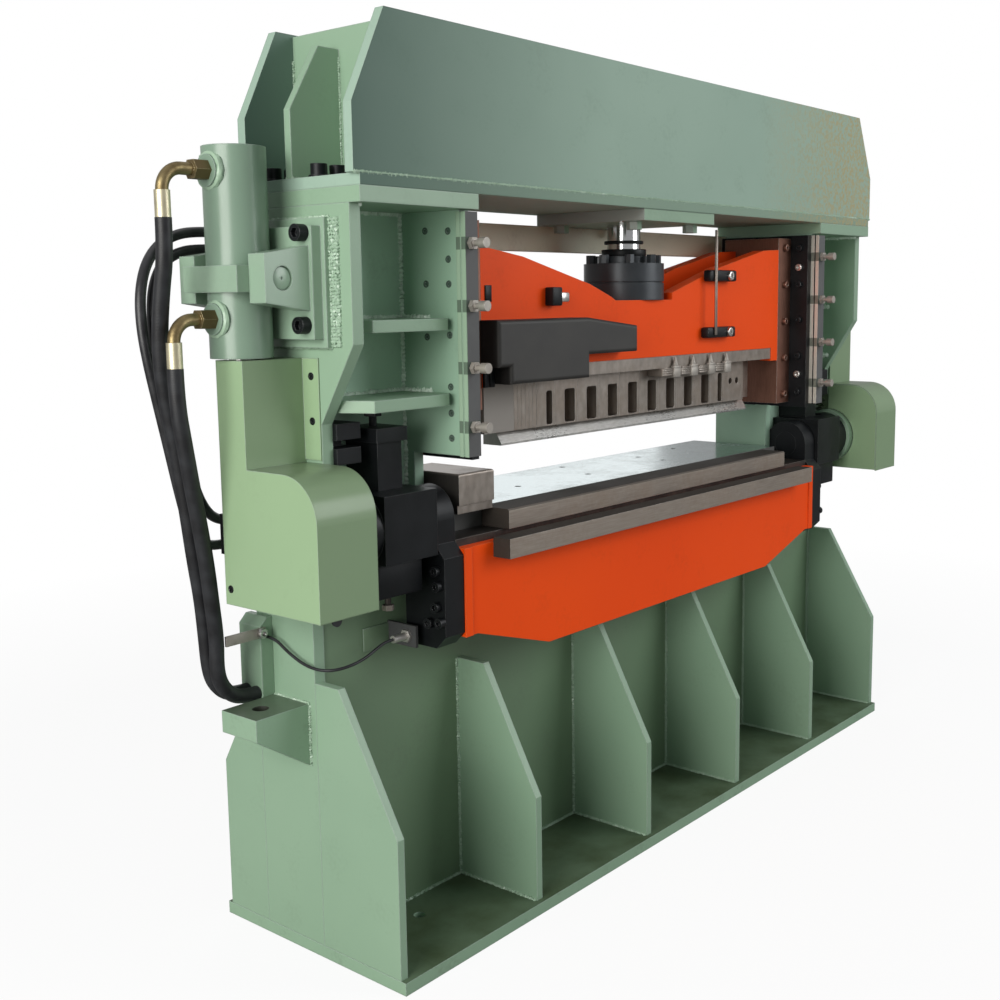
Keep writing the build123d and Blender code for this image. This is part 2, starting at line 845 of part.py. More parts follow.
# Socket head bolts of the brackets
with BuildPart() as trunnion_bolts:
    for side in sides:
        head_x = bracket_face_x + bolt_diameter
        for y, z in bracket_bolt_places:
            rod_x(side * half_length, side * bracket_face_x, y, z, bolt_diameter)
            rod_x(side * bracket_face_x, side * head_x, y, z, bolt_head_diameter)
            hex_x(side * (head_x - bolt_socket_depth), side * head_x, y, z, bolt_socket, mode=Mode.SUBTRACT)
save(trunnion_bolts, "trunnion_bolts")

# Trunnion collars round the barrels, with their pins
collar_pin_front_y = arm_front_starts[0] + pin_recess
collar_pin_rear_y = arm_front_starts[1] + trunnion_arm_width - pin_recess
collar_low_z = trunnion_z - collar_height / 2
collar_top_z = trunnion_z + collar_height / 2
collar_front_y = drive_y - collar_half_width + slide_clearance
collar_rear_y = drive_y + collar_half_width - slide_clearance
with BuildPart() as trunnion_collars:
    for side in sides:
        slab(side * collar_inner_x, side * collar_outer_x, collar_front_y, collar_rear_y, collar_low_z, collar_top_z)
        rod_y(collar_pin_front_y, collar_pin_rear_y, side * drive_x, trunnion_z, pin_diameter)
        rod_z(collar_low_z - pin_diameter, collar_top_z + pin_diameter, side * drive_x, drive_y,
              barrel_diameter + 2 * seat_clearance, mode=Mode.SUBTRACT)
save(trunnion_collars, "trunnion_collars")

# Drive cylinders: closed barrels with a gland at the foot and two port bosses
with BuildPart() as drive_cylinders:
    for side in sides:
        x = side * drive_x
        rod_z(barrel_low_z, barrel_top_z, x, drive_y, barrel_diameter)
        for z in port_z:
            rod_x(x, side * (drive_x + barrel_radius + port_boss_length), drive_y, z, port_boss_diameter)
        rod_z(barrel_low_z + barrel_gland, barrel_top_z - barrel_cap, x, drive_y,
              piston_diameter + 2 * shaft_clearance, mode=Mode.SUBTRACT)
        rod_z(barrel_low_z, barrel_low_z + barrel_gland, x, drive_y, rod_diameter + 2 * shaft_clearance,
              mode=Mode.SUBTRACT)
save(drive_cylinders, "drive_cylinders")

# Port fittings: a nut, an elbow that turns down, and the ferrule of the hose
fitting_x = drive_x + barrel_radius + port_boss_length
with BuildPart() as port_fittings:
    for side in sides:
        for z, end_x, ferrule in zip(port_z, hose_x, ferrule_length):
            hex_x(side * fitting_x, side * (fitting_x + nut_length), drive_y, z, nut_across)
            with BuildLine() as elbow_line:
                FilletPolyline(
                    (side * (fitting_x + nut_length), drive_y, z),
                    (side * end_x, drive_y, z),
                    (side * end_x, drive_y, z - elbow_radius),
                    radius=elbow_radius - seat_clearance,
                )
            start = Plane((side * (fitting_x + nut_length), drive_y, z), z_dir=(side, 0, 0))
            with BuildSketch(start) as elbow_section:
                Circle(elbow_diameter / 2)
            sweep(elbow_section.sketch, path=elbow_line.line)
            rod_z(z - elbow_radius - ferrule, z - elbow_radius, side * end_x, drive_y, ferrule_diameter)
save(port_fittings, "port_fittings")

# Sheet covers over the racks and pinions, open at the back and below
def cover_outline(side, inset, rear_y, low_z, top_z):
    # The y-z outline of the cover on one side, drawn in from the outer face by its wall
    front_y = cover_front_y[side] + inset
    mid_z = cover_mid_z[side] - inset
    neck_y = cover_neck_y[side] + inset
    corner = cover_corner - inset
    with BuildLine() as outline:
        Polyline((rear_y, low_z), (front_y, low_z), (front_y, mid_z - corner))
        RadiusArc((front_y, mid_z - corner), (front_y + corner, mid_z), corner)
        Polyline((front_y + corner, mid_z), (neck_y, mid_z), (neck_y, top_z), (rear_y, top_z), (rear_y, low_z))
    return outline.line


with BuildPart() as drive_covers:
    for side in sides:
        with BuildSketch(Plane.YZ.offset(side * half_length)) as outer:
            make_face(cover_outline(side, 0, cover_rear_y, cover_low_z[side], cover_top_z))
        extrude(outer.sketch, amount=side * (cover_outer_x - half_length))
        with BuildSketch(Plane.YZ.offset(side * half_length)) as hollow:
            make_face(cover_outline(side, cover_wall, cover_rear_y + cover_wall, cover_low_z[side] - cover_wall,
                                    cover_top_z - cover_wall))
        extrude(hollow.sketch, amount=side * (cover_outer_x - cover_wall - half_length), mode=Mode.SUBTRACT)
        rod_z(cover_top_z - 2 * cover_wall, cover_top_z + cover_wall, side * drive_x, drive_y,
              rod_diameter + 2 * cover_rod_gap, mode=Mode.SUBTRACT)
    slab(-half_length - cover_wall, -half_length, strip_front_y, cover_neck_y[-1], strip_low_z, cover_top_z)
save(drive_covers, "drive_covers")

# Guide blocks behind the racks
with BuildPart() as rack_guides:
    for side in sides:
        guide_y = rack_back_y + slide_clearance
        slab(side * half_length, side * guide_outer_x, guide_y, guide_y + guide_depth, guide_low_z, guide_top_z)
save(rack_guides, "rack_guides")

# Transport lugs on the outer faces, each with a hole and a gusset
lug_low_z = lug_top_z - lug_thickness
lug_tip_x = half_length + lug_length
with BuildPart() as side_lugs:
    for side in sides:
        slab(side * half_length, side * lug_tip_x, lug_front_y, lug_rear_y, lug_low_z, lug_top_z)
        plate_along(lug_front_y, lug_front_y + lug_gusset_thickness, [
            (side * half_length, lug_gusset_low_z),
            (side * lug_tip_x, lug_low_z),
            (side * half_length, lug_low_z),
        ])
        rod_z(lug_low_z, lug_top_z, side * lug_hole_x, (lug_front_y + lug_rear_y) / 2, lug_hole_diameter,
              mode=Mode.SUBTRACT)
save(side_lugs, "side_lugs")

# Blocks on the left column: one where the hoses end, two where the conduits start and end
with BuildPart() as hose_blocks:
    plate_along(hose_block_front_y, column_rear_y + hose_block_overhang, [
        (-half_length, hose_block_low_z),
        (-hose_block_x, hose_block_low_z),
        (-hose_block_x, hose_block_top_z - hose_block_chamfer),
        (-hose_block_x + hose_block_chamfer, hose_block_top_z),
        (-half_length, hose_block_top_z),
    ])
    for low_z, top_z in conduit_block_z:
        slab(-half_length, -conduit_block_inner_x, column_rear_y, column_rear_y + conduit_block_depth, low_z, top_z)
save(hose_blocks, "hose_blocks")

# Proximity switch on its plate, facing the left end arm
with BuildPart() as proximity_switch:
    slab(switch_plate_x, switch_plate_x + switch_plate_thickness, switch_y - switch_nut, front_plate_y,
         switch_z - switch_plate_height / 2, switch_z + switch_plate_height / 2)
    rod_x(switch_start_x, switch_end_x, switch_y, switch_z, switch_diameter)
    hex_x(switch_plate_x - switch_nut_length, switch_plate_x, switch_y, switch_z, switch_nut)
    hex_x(switch_plate_x + switch_plate_thickness, switch_plate_x + switch_plate_thickness + switch_nut_length,
          switch_y, switch_z, switch_nut)
save(proximity_switch, "proximity_switch")

# Routes of the hoses, the conduits and the switch cable
hose_end_y = (117, 153)
hose_end_z = 612
upper_hose_route = [
    (-hose_x[1], drive_y, port_z[1] - elbow_radius - ferrule_length[1]),
    (-hose_x[1], drive_y, 1600),
    (-1486, 44, 1525),
    (-1482, 64, 1440),
    (-1471, 80, 1355),
    (-1448, 92, 1262),
    (-1424, 103, 1160),
    (-1403, 112, 1050),
    (-1385, 122, 950),
    (-1362, 136, 860),
    (-1348, 147, 770),
    (-1340, 152, 690),
    (-1327, hose_end_y[1], 652),
    (-1303, hose_end_y[1], 625),
    (-1271, hose_end_y[1], hose_end_z),
    (-hose_block_x, hose_end_y[1], hose_end_z),
]
lower_hose_route = [
    (-hose_x[0], drive_y, port_z[0] - elbow_radius - ferrule_length[0]),
    (-hose_x[0], drive_y, 1300),
    (-1461, 28, 1215),
    (-1437, 42, 1120),
    (-1411, 57, 1025),
    (-1388, 72, 935),
    (-1369, 88, 850),
    (-1348, 106, 766),
    (-1345, 115, 690),
    (-1332, hose_end_y[0], 652),
    (-1307, hose_end_y[0], 625),
    (-1273, hose_end_y[0], hose_end_z),
    (-hose_block_x, hose_end_y[0], hose_end_z),
]
conduit_y = 203
conduit_end_y = 193
outer_conduit_route = [
    (-half_length, conduit_y, 1660),
    (-1265, conduit_y, 1660),
    (-1330, 199, 1654),
    (-1388, 189, 1630),
    (-1434, 173, 1586),
    (-1461, 158, 1525),
    (-1468, 148, 1455),
    (-1460, 143, 1380),
    (-1442, 143, 1295),
    (-1420, 145, 1200),
    (-1400, 147, 1110),
    (-1378, 152, 1030),
    (-1345, 165, 980),
    (-1300, 184, 960),
    (-1255, conduit_end_y, 955),
    (-half_length, conduit_end_y, 955),
]
inner_conduit_route = [
    (-half_length, conduit_y, 1622),
    (-1265, conduit_y, 1622),
    (-1326, 200, 1616),
    (-1378, 191, 1592),
    (-1414, 177, 1545),
    (-1432, 163, 1485),
    (-1434, 152, 1415),
    (-1419, 144, 1340),
    (-1396, 140, 1250),
    (-1376, 143, 1165),
    (-1350, 152, 1090),
    (-1315, 168, 1042),
    (-1275, 186, 1017),
    (-1240, conduit_end_y, 1010),
    (-half_length, conduit_end_y, 1010),
]
cable_route = [
    (-1218, hose_block_front_y, 745),
    (-1218, 66, 745),
    (-1217, 28, 722),
    (-1215, -18, 702),
    (-1212, -62, 694),
    (-1200, -98, 694),
    (-1165, -116, 698),
    (-1120, -120, 706),
    (-1075, -113, 718),
    (-1040, switch_y, switch_z),
    (switch_start_x, switch_y, switch_z),
]
run_share = 0.45


def bend_radii(route):
    # The largest arc that each corner of a route has room for
    points = [Vector(*point) for point in route]
    radii = []
    for before, corner, after in zip(points, points[1:], points[2:]):
        turn = (corner - before).get_angle(after - corner)
        shorter = min((corner - before).length, (after - corner).length)
        radii.append(run_share * shorter / tan(radians(turn) / 2))
    return radii


def cord_path(route):
    with BuildLine() as path:
        FilletPolyline(*route, radius=bend_radii(route))
    return path.wire()


def route_start(route):
    # The plane at the start of a route, square to its first run
    start = Vector(*route[0])
    return Plane(start, z_dir=Vector(*route[1]) - start)


def tube_along(route, diameter, name):
    # A round tube along a route of straight runs and arcs
    path = cord_path(route)
    with BuildSketch(route_start(route)) as section:
        Circle(diameter / 2)
    sweep(section.sketch, path=path)
    print(f"{name}: length {path.length:.1f}, least bend radius {min(bend_radii(route)):.1f}")
    return path.length * pi * diameter ** 2 / 4


def ribbed_along(route, name):
    # A corrugated tube with its bore: each rib is four rings, two low and two high
    path = cord_path(route)
    rib_total = int((path.length - 2 * conduit_diameter) / conduit_rib_pitch)
    rib_pitch_used = (path.length - 2 * conduit_diameter) / rib_total
    low_radius = conduit_diameter / 2 - conduit_groove
    high_radius = conduit_diameter / 2
    stations = [(0, low_radius)]
    for rib in range(rib_total):
        rib_start = conduit_diameter + rib * rib_pitch_used
        stations.append((rib_start, low_radius))
        stations.append((rib_start + conduit_rib_rise * rib_pitch_used, high_radius))
        stations.append((rib_start + conduit_rib_crest * rib_pitch_used, high_radius))
        stations.append((rib_start + conduit_rib_fall * rib_pitch_used, low_radius))
    stations.append((path.length, low_radius))
    rings = []
    for distance, radius in stations:
        place = path.position_at(distance, position_mode=PositionMode.LENGTH)
        heading = path.tangent_at(distance, position_mode=PositionMode.LENGTH)
        steady_axis = Vector(0, 1, 0).cross(heading)
        with BuildSketch(Plane(place, x_dir=steady_axis, z_dir=heading)) as ring:
            Circle(radius)
            Circle(conduit_bore / 2, mode=Mode.SUBTRACT)
        rings.append(ring.sketch)
    loft(rings, ruled=True)
    print(f"{name}: length {path.length:.1f}, {rib_total} ribs, least bend radius {min(bend_radii(route)):.1f}")


with BuildPart() as upper_hose:
    upper_hose_volume = tube_along(upper_hose_route, hose_diameter, "upper hose")
save(upper_hose, "upper_hose")
with BuildPart() as lower_hose:
    lower_hose_volume = tube_along(lower_hose_route, hose_diameter, "lower hose")
save(lower_hose, "lower_hose")
with BuildPart() as switch_cable:
    switch_cable_volume = tube_along(cable_route, cable_diameter, "switch cable")
save(switch_cable, "switch_cable")
for tube, volume in ((upper_hose, upper_hose_volume), (lower_hose, lower_hose_volume),
                     (switch_cable, switch_cable_volume)):
    print(f"{tube.part.label}: volume over section times length {tube.part.volume / volume:.4f}")
with BuildPart() as outer_conduit:
    ribbed_along(outer_conduit_route, "outer conduit")
save(outer_conduit, "outer_conduit")
with BuildPart() as inner_conduit:
    ribbed_along(inner_conduit_route, "inner conduit")
save(inner_conduit, "inner_conduit")

# Front and rear plates of the clamp beam, a shallow V with a notch for the ram coupling
clamp_outline = [
    (-clamp_half_length, clamp_end_z),
    (-holder_half_length, clamp_end_z),
    (-holder_half_length, clamp_low_z),
    (holder_half_length, clamp_low_z),
    (holder_half_length, clamp_end_z),
    (clamp_half_length, clamp_end_z),
    *reversed(clamp_top_right),
    (notch_right_x, notch_floor_z),
    (notch_left_x, notch_floor_z),
    *reversed(clamp_top_left),
]
with BuildPart() as clamp_plates:
    plate_along(clamp_front_y, clamp_front_y + clamp_plate_thickness, clamp_outline)
    plate_along(clamp_rear_y - clamp_plate_thickness, clamp_rear_y, clamp_outline)
save(clamp_plates, "clamp_plates")

# Saddle between the plates that takes the push of the ram
with BuildPart() as clamp_saddle:
    slab(-saddle_half_length, saddle_half_length, clamp_front_y + clamp_plate_thickness,
         clamp_rear_y - clamp_plate_thickness, notch_floor_z - saddle_thickness, notch_floor_z)
save(clamp_saddle, "clamp_saddle")

# Slides at the ends of the clamp beam, with tongues that run in the rails
with BuildPart() as clamp_slides:
    for side in sides:
        slab(side * clamp_half_length, side * slide_outer_x, clamp_front_y, clamp_rear_y, slide_low_z[side],
             slide_top_z)
        slab(side * slide_outer_x, side * (slide_outer_x + tongue_depth), ram_y - tongue_width / 2,
             ram_y + tongue_width / 2, slide_low_z[side], slide_top_z)
save(clamp_slides, "clamp_slides")

# Tool holder under the clamp beam
with BuildPart() as tool_holder:
    slab(-holder_half_length, holder_half_length, holder_front_y, holder_rear_y, holder_low_z, clamp_low_z)
    slab(-holder_half_length, holder_half_length, tool_front_y + tool_depth, holder_rear_y, segment_low_z, holder_low_z)
save(tool_holder, "tool_holder")


# Clamping tools: windowed segments, narrow end segments, strips, an end block and an end plate
def windowed_segment(middle_x, width, window):
    half = (width - segment_gap) / 2
    slab(middle_x - half, middle_x + half, tool_front_y, tool_front_y + tool_depth, segment_low_z, holder_low_z)
    window_low_z = segment_low_z + window_low
    with BuildSketch(Plane.XZ.offset(-tool_front_y)) as opening:
        with Locations((middle_x + window_shift, (window_low_z + window_top_z) / 2)):
            RectangleRounded(window, window_top_z - window_low_z, window_corner)
    extrude(opening.sketch, amount=-tool_depth, mode=Mode.SUBTRACT)


def plain_segment(left_x, width):
    slab(left_x, left_x + width - segment_gap, tool_front_y, tool_front_y + tool_depth, segment_low_z, holder_low_z)


row_half = segment_count * segment_pitch / 2
row_end = row_half + end_segment_width
strips_left_x = -row_end - strip_count * strip_width
end_plate_hole_z = (segment_low_z + holder_low_z) / 2
with BuildPart() as tool_segments:
    for step in range(segment_count):
        windowed_segment((step + 0.5) * segment_pitch - row_half, segment_pitch, window_width)
    for side in sides:
        windowed_segment(side * (row_half + end_segment_width / 2), end_segment_width, narrow_window_width)
    for step in range(strip_count):
        plain_segment(strips_left_x + step * strip_width, strip_width)
    plain_segment(strips_left_x - end_block_width, end_block_width)
    plain_segment(row_end, end_plate_width)
    for share in (1 / 3, 2 / 3):
        rod_y(tool_front_y, tool_front_y + tool_depth, row_end + share * end_plate_width, end_plate_hole_z,
              end_plate_hole, mode=Mode.SUBTRACT)
save(tool_segments, "tool_segments")

# Nose blade under the segments, leaning back from its edge
with BuildPart() as nose_blade:
    plate_across(-nose_half_length, nose_half_length, [
        (tool_front_y, nose_low_z),
        (tool_front_y + nose_depth, nose_low_z),
        (tool_front_y + nose_depth, segment_low_z),
        (tool_front_y + nose_lean, segment_low_z),
        (tool_front_y, nose_low_z + nose_land),
    ])
save(nose_blade, "nose_blade")

# Ram: rod and piston of the clamp cylinder
with BuildPart() as clamp_ram:
    rod_z(ram_low_z, ram_piston_low_z, 0, ram_y, ram_diameter)
    rod_z(ram_piston_low_z, ram_piston_low_z + ram_piston_height, 0, ram_y, cylinder_bore - 2 * shaft_clearance)
save(clamp_ram, "clamp_ram")

# Coupling between the ram and the saddle, with its ring and bolt heads
with BuildPart() as ram_coupling:
    rod_z(notch_floor_z, coupling_ring_low_z, 0, ram_y, coupling_diameter)
    rod_z(coupling_ring_low_z, ram_low_z, 0, ram_y, coupling_ring_diameter)
    with BuildSketch(Plane.XY.offset(coupling_groove_z)) as groove:
        with Locations((0, ram_y)):
            Circle(coupling_diameter / 2)
            Circle(coupling_diameter / 2 - coupling_groove, mode=Mode.SUBTRACT)
    extrude(groove.sketch, amount=coupling_groove, mode=Mode.SUBTRACT)
    with BuildSketch(Plane.XY.offset(coupling_ring_low_z)) as coupling_bolts:
        with Locations((0, ram_y)):
            with PolarLocations(coupling_bolt_circle / 2, coupling_bolt_count):
                RegularPolygon(coupling_bolt_head / 2, 6, major_radius=False)
    extrude(coupling_bolts.sketch, amount=coupling_bolt_height)
save(ram_coupling, "ram_coupling")

# Closed drive unit in front of the clamp beam that moves the segments
with BuildPart() as segment_drive:
    plate_along(drive_unit_front_y, clamp_front_y, [
        (drive_unit_left_x, drive_unit_low_z),
        (drive_unit_foot_left_x, drive_unit_low_z),
        (drive_unit_foot_left_x, drive_unit_foot_z),
        (drive_unit_split_x, drive_unit_foot_z),
        (drive_unit_split_x, drive_unit_low_z + drive_unit_taper),
        (drive_unit_right_x, drive_unit_low_z + drive_unit_taper),
        (drive_unit_right_x, drive_unit_top_z - drive_unit_top_taper),
        (drive_unit_split_x, drive_unit_top_z),
        (drive_unit_left_x, drive_unit_top_z),
    ])
    front_edges = segment_drive.faces().sort_by(Axis.Y)[0].edges()
    fillet(front_edges, drive_unit_round)
save(segment_drive, "segment_drive")

# Apron of the fold beam, with a cheek standing proud at each end
with BuildPart() as fold_apron:
    plate_along(apron_front_y, core_front_y, [
        (-apron_half_length, apron_top_z),
        (-apron_half_length, apron_end_z),
        (-apron_slant_outer_x, apron_end_z),
        (-apron_slant_inner_x, apron_low_z),
        (apron_slant_inner_x, apron_low_z),
        (apron_slant_outer_x, apron_end_z),
        (apron_half_length, apron_end_z),
        (apron_half_length, apron_top_z),
    ])
    for side in sides:
        slab(side * (apron_half_length - cheek_width), side * apron_half_length,
             apron_front_y - cheek_proud, apron_front_y, apron_end_z, apron_top_z)
save(fold_apron, "fold_apron")

# Core of the fold beam with the seat of the blade
with BuildPart() as fold_core:
    slab(-apron_half_length, apron_half_length, core_front_y, core_rear_y, core_low_z, apron_top_z)
    slab(-apron_half_length, apron_half_length, core_front_y, seat_rear_y, apron_top_z, blade_low_z)
save(fold_core, "fold_core")

# Fold blade, its upper edges broken
with BuildPart() as fold_blade:
    slab(-blade_half_length, blade_half_length, blade_front_y, seat_rear_y, blade_low_z, blade_top_z)
    chamfer(fold_blade.faces().sort_by(Axis.Z)[-1].edges().filter_by(Axis.X), blade_chamfer)
save(fold_blade, "fold_blade")

# Lower bar in front of the apron
with BuildPart() as lower_bar:
    slab(-lower_bar_half_length, lower_bar_half_length, lower_bar_front_y, apron_front_y,
         lower_bar_low_z, lower_bar_low_z + lower_bar_height)
save(lower_bar, "lower_bar")

# Shafts from the end arms out to the pinions
with BuildPart() as fold_shafts:
    for side in sides:
        rod_x(side * arm_inner_x, side * shaft_end_x, axis_y, axis_z, shaft_diameter)
save(fold_shafts, "fold_shafts")

# End arms that tie the apron to the shafts
with BuildPart() as end_arms:
    for side in sides:
        plate_across(side * arm_inner_x, side * arm_outer_x, [
            (apron_front_y, arm_low_z + arm_chamfer),
            (apron_front_y + arm_chamfer, arm_low_z),
            (arm_rear_y, arm_low_z),
            (arm_rear_y, axis_z),
            (axis_y - arm_head_radius, axis_z),
            (axis_y - arm_head_radius, arm_shoulder_z + arm_chamfer),
            (apron_front_y, arm_shoulder_z),
        ])
        rod_x(side * arm_inner_x, side * arm_outer_x, axis_y, axis_z, 2 * arm_head_radius)
        rod_x(side * arm_inner_x, side * arm_outer_x, axis_y, axis_z, shaft_diameter + 2 * seat_clearance,
              mode=Mode.SUBTRACT)
save(end_arms, "end_arms")

# Bolt heads on the outer faces of the arms
with BuildPart() as arm_bolts:
    for side in sides:
        for y, z in arm_bolt_places:
            rod_x(side * arm_outer_x, side * (arm_outer_x + arm_bolt_diameter), y, z, arm_bolt_head)
            hex_x(side * (arm_outer_x + arm_bolt_diameter / 2), side * (arm_outer_x + arm_bolt_diameter), y, z,
                  arm_bolt_head / 2, mode=Mode.SUBTRACT)
save(arm_bolts, "arm_bolts")

# Pinions: involute teeth on a root disc, a gap facing the rack
base_radius = pitch_radius * cos(radians(pressure_angle))
tip_radius = pitch_radius + gear_module
root_radius = pitch_radius - gear_dedendum * gear_module
half_tooth = (pi * gear_module / 2 - tooth_backlash) / 2


def involute_angle(radius):
    # The involute function at a radius
    ratio = max(1.0, radius / base_radius)
    roll = (ratio * ratio - 1) ** 0.5
    return roll - acos(1 / ratio)


def tooth_outline(turn):
    # One tooth, its middle at the given angle
    flank = []
    for step in range(flank_steps + 1):
        radius = base_radius + (tip_radius - base_radius) * step / flank_steps
        half = half_tooth / pitch_radius + involute_angle(pitch_radius) - involute_angle(radius)
        flank.append((radius, half))
    foot = root_radius - gear_module
    lower = [(foot, flank[0][1])] + flank
    polar = [(r, turn - a) for r, a in lower] + [(r, turn + a) for r, a in reversed(lower)]
    return [(axis_y + r * cos(a), axis_z + r * sin(a)) for r, a in polar]


with BuildPart() as pinions:
    for side in sides:
        with BuildSketch(Plane.YZ.offset(side * (drive_x - gear_width / 2))) as gear:
            with Locations((axis_y, axis_z)):
                Circle(root_radius)
            for tooth in range(gear_teeth):
                Polygon(*tooth_outline(2 * pi * (tooth + 0.5) / gear_teeth))
            with Locations((axis_y, axis_z)):
                Circle(shaft_diameter / 2 + seat_clearance, mode=Mode.SUBTRACT)
        extrude(gear.sketch, amount=side * gear_width)
save(pinions, "pinions")

# Racks with their rods and pistons; a tooth stands at the height of the fold axis
rack_root_y = pitch_line_y + gear_dedendum * gear_module
rack_tip_y = pitch_line_y - gear_module
tooth_pitch = pi * gear_module
flank_lean = tan(radians(pressure_angle))


def rack_tooth(middle_z):
    tip_half = half_tooth - gear_module * flank_lean
    root_half = half_tooth + (rack_root_y - pitch_line_y) * flank_lean
    return [
        (rack_root_y, middle_z - root_half),
        (rack_root_y, middle_z + root_half),
        (rack_tip_y, middle_z + tip_half),
        (rack_tip_y, middle_z - tip_half),
    ]


tooth_numbers = [
    number for number in range(-gear_teeth, gear_teeth)
    if rack_low_z + tooth_pitch / 2 < axis_z + number * tooth_pitch < rack_top_z - tooth_pitch / 2
]


def rack_with_rod(side):
    face_x = side * (drive_x - gear_width / 2)
    slab(face_x, face_x + side * gear_width, rack_root_y, rack_back_y, rack_low_z, rack_top_z)
    for number in tooth_numbers:
        plate_across(face_x, face_x + side * gear_width, rack_tooth(axis_z + number * tooth_pitch))
    rod_z(rack_top_z, piston_low_z, side * drive_x, drive_y, rod_diameter)
    rod_z(piston_low_z, piston_low_z + piston_height, side * drive_x, drive_y, piston_diameter)


with BuildPart() as left_rack:
    rack_with_rod(-1)
save(left_rack, "left_rack")
with BuildPart() as right_rack:
    rack_with_rod(1)
save(right_rack, "right_rack")
print(f"rack travel {rack_travel:.2f} for a fold of {fold_angle} degrees, clamp travel {clamp_travel}")
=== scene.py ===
import math
import bpy
from mathutils import Matrix, Vector


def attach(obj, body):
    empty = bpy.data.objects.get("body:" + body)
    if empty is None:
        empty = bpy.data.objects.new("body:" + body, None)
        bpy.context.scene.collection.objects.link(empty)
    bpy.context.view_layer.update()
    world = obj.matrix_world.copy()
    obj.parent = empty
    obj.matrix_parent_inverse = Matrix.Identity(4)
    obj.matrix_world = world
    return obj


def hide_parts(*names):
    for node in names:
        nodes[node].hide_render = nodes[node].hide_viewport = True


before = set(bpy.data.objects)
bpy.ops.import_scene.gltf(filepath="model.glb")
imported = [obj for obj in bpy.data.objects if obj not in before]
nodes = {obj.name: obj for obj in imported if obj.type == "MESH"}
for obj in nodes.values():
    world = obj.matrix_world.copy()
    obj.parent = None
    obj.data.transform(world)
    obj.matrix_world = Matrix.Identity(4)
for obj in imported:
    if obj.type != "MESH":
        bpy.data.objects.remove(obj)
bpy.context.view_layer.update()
print("frame loaded,", len(nodes), "nodes")


class Wire:
    # a shader socket that can stand in a Python sum
    def __init__(self, finish, socket):
        self.finish = finish
        self.socket = socket

    def sum(self, operation, first, second, held=False):
        settings = {"operation": operation, "use_clamp": held}
        return self.finish.node("ShaderNodeMath", settings, {0: first, 1: second})[0]

    def __add__(self, other):
        return self.sum("ADD", self, other)

    def __radd__(self, other):
        return self.sum("ADD", other, self)

    def __sub__(self, other):
        return self.sum("SUBTRACT", self, other)

    def __rsub__(self, other):
        return self.sum("SUBTRACT", other, self)

    def __mul__(self, other):
        return self.sum("MULTIPLY", self, other)

    def __rmul__(self, other):
        return self.sum("MULTIPLY", other, self)

    def __pow__(self, other):
        return self.sum("POWER", self, other)

    def within(self, low, high):
        # 1 between two values, 0 outside them
        return self.sum("GREATER_THAN", self, low) * self.sum("LESS_THAN", self, high)

    def held(self, gain=1.0, lift=0.0):
        # gain and lift, kept between 0 and 1
        return self.sum("ADD", self * gain, lift, held=True)


class Finish:
    # one material: its nodes come from the node method
    def __init__(self, name, fixed):
        self.material = bpy.data.materials.new(name)
        self.material.use_nodes = True
        self.tree = self.material.node_tree
        self.shader = self.tree.nodes["Principled BSDF"]
        for socket, value in fixed.items():
            self.shader.inputs[socket].default_value = value
        self.place = self.node("ShaderNodeTexCoord", {}, {})[3]
        self.normal = None

    def node(self, kind, settings, sockets):
        made = self.tree.nodes.new(kind)
        for key, value in settings.items():
            setattr(made, key, value)
        for key, value in sockets.items():
            if isinstance(value, Wire):
                self.tree.links.new(value.socket, made.inputs[key])
            else:
                made.inputs[key].default_value = value
        return [Wire(self, out) for out in made.outputs]

    def stretched(self, scale):
        return self.node("ShaderNodeMapping", {}, {"Vector": self.place, "Scale": scale})[0]

    def noise(self, scale, detail=3.0, along=None):
        where = self.place if along is None else self.stretched(along)
        return self.node("ShaderNodeTexNoise", {}, {"Vector": where, "Scale": scale, "Detail": detail})[0]

    def mix(self, share, first, second):
        settings = {"data_type": "RGBA"}
        return self.node("ShaderNodeMix", settings, {0: share, 6: first, 7: second})[2]

    def flatDot(self, way):
        # cosine between the face's own normal and another direction
        flat = self.node("ShaderNodeNewGeometry", {}, {})[1]
        return self.node("ShaderNodeVectorMath", {"operation": "DOT_PRODUCT"}, {0: flat, 1: way})[1]

    def edge(self, radius):
        # 0 on flat faces, up to about 0.3 on a square edge
        self.normal = self.node("ShaderNodeBevel", {"samples": 3}, {"Radius": radius})[0]
        return 1 - self.flatDot(self.normal)

    def axes(self):
        return self.node("ShaderNodeSeparateXYZ", {}, {0: self.place})

    def facing(self, way):
        # how far a face looks one way, 0 to 1
        return self.flatDot(way).held()

    def bump(self, height, strength, distance):
        sockets = {"Height": height, "Strength": strength, "Distance": distance}
        if self.normal:
            sockets["Normal"] = self.normal
        self.normal = self.node("ShaderNodeBump", {}, sockets)[0]

    def done(self, colour=None, roughness=None, metallic=None):
        wires = {"Base Color": colour, "Roughness": roughness, "Metallic": metallic, "Normal": self.normal}
        for socket, wire in wires.items():
            if isinstance(wire, Wire):
                self.tree.links.new(wire.socket, self.shader.inputs[socket])
        return self.material


ways = {"front": (0, -1, 0), "top": (0, 0, 1), "side": (-1, 0, 0)}  # where a face can look


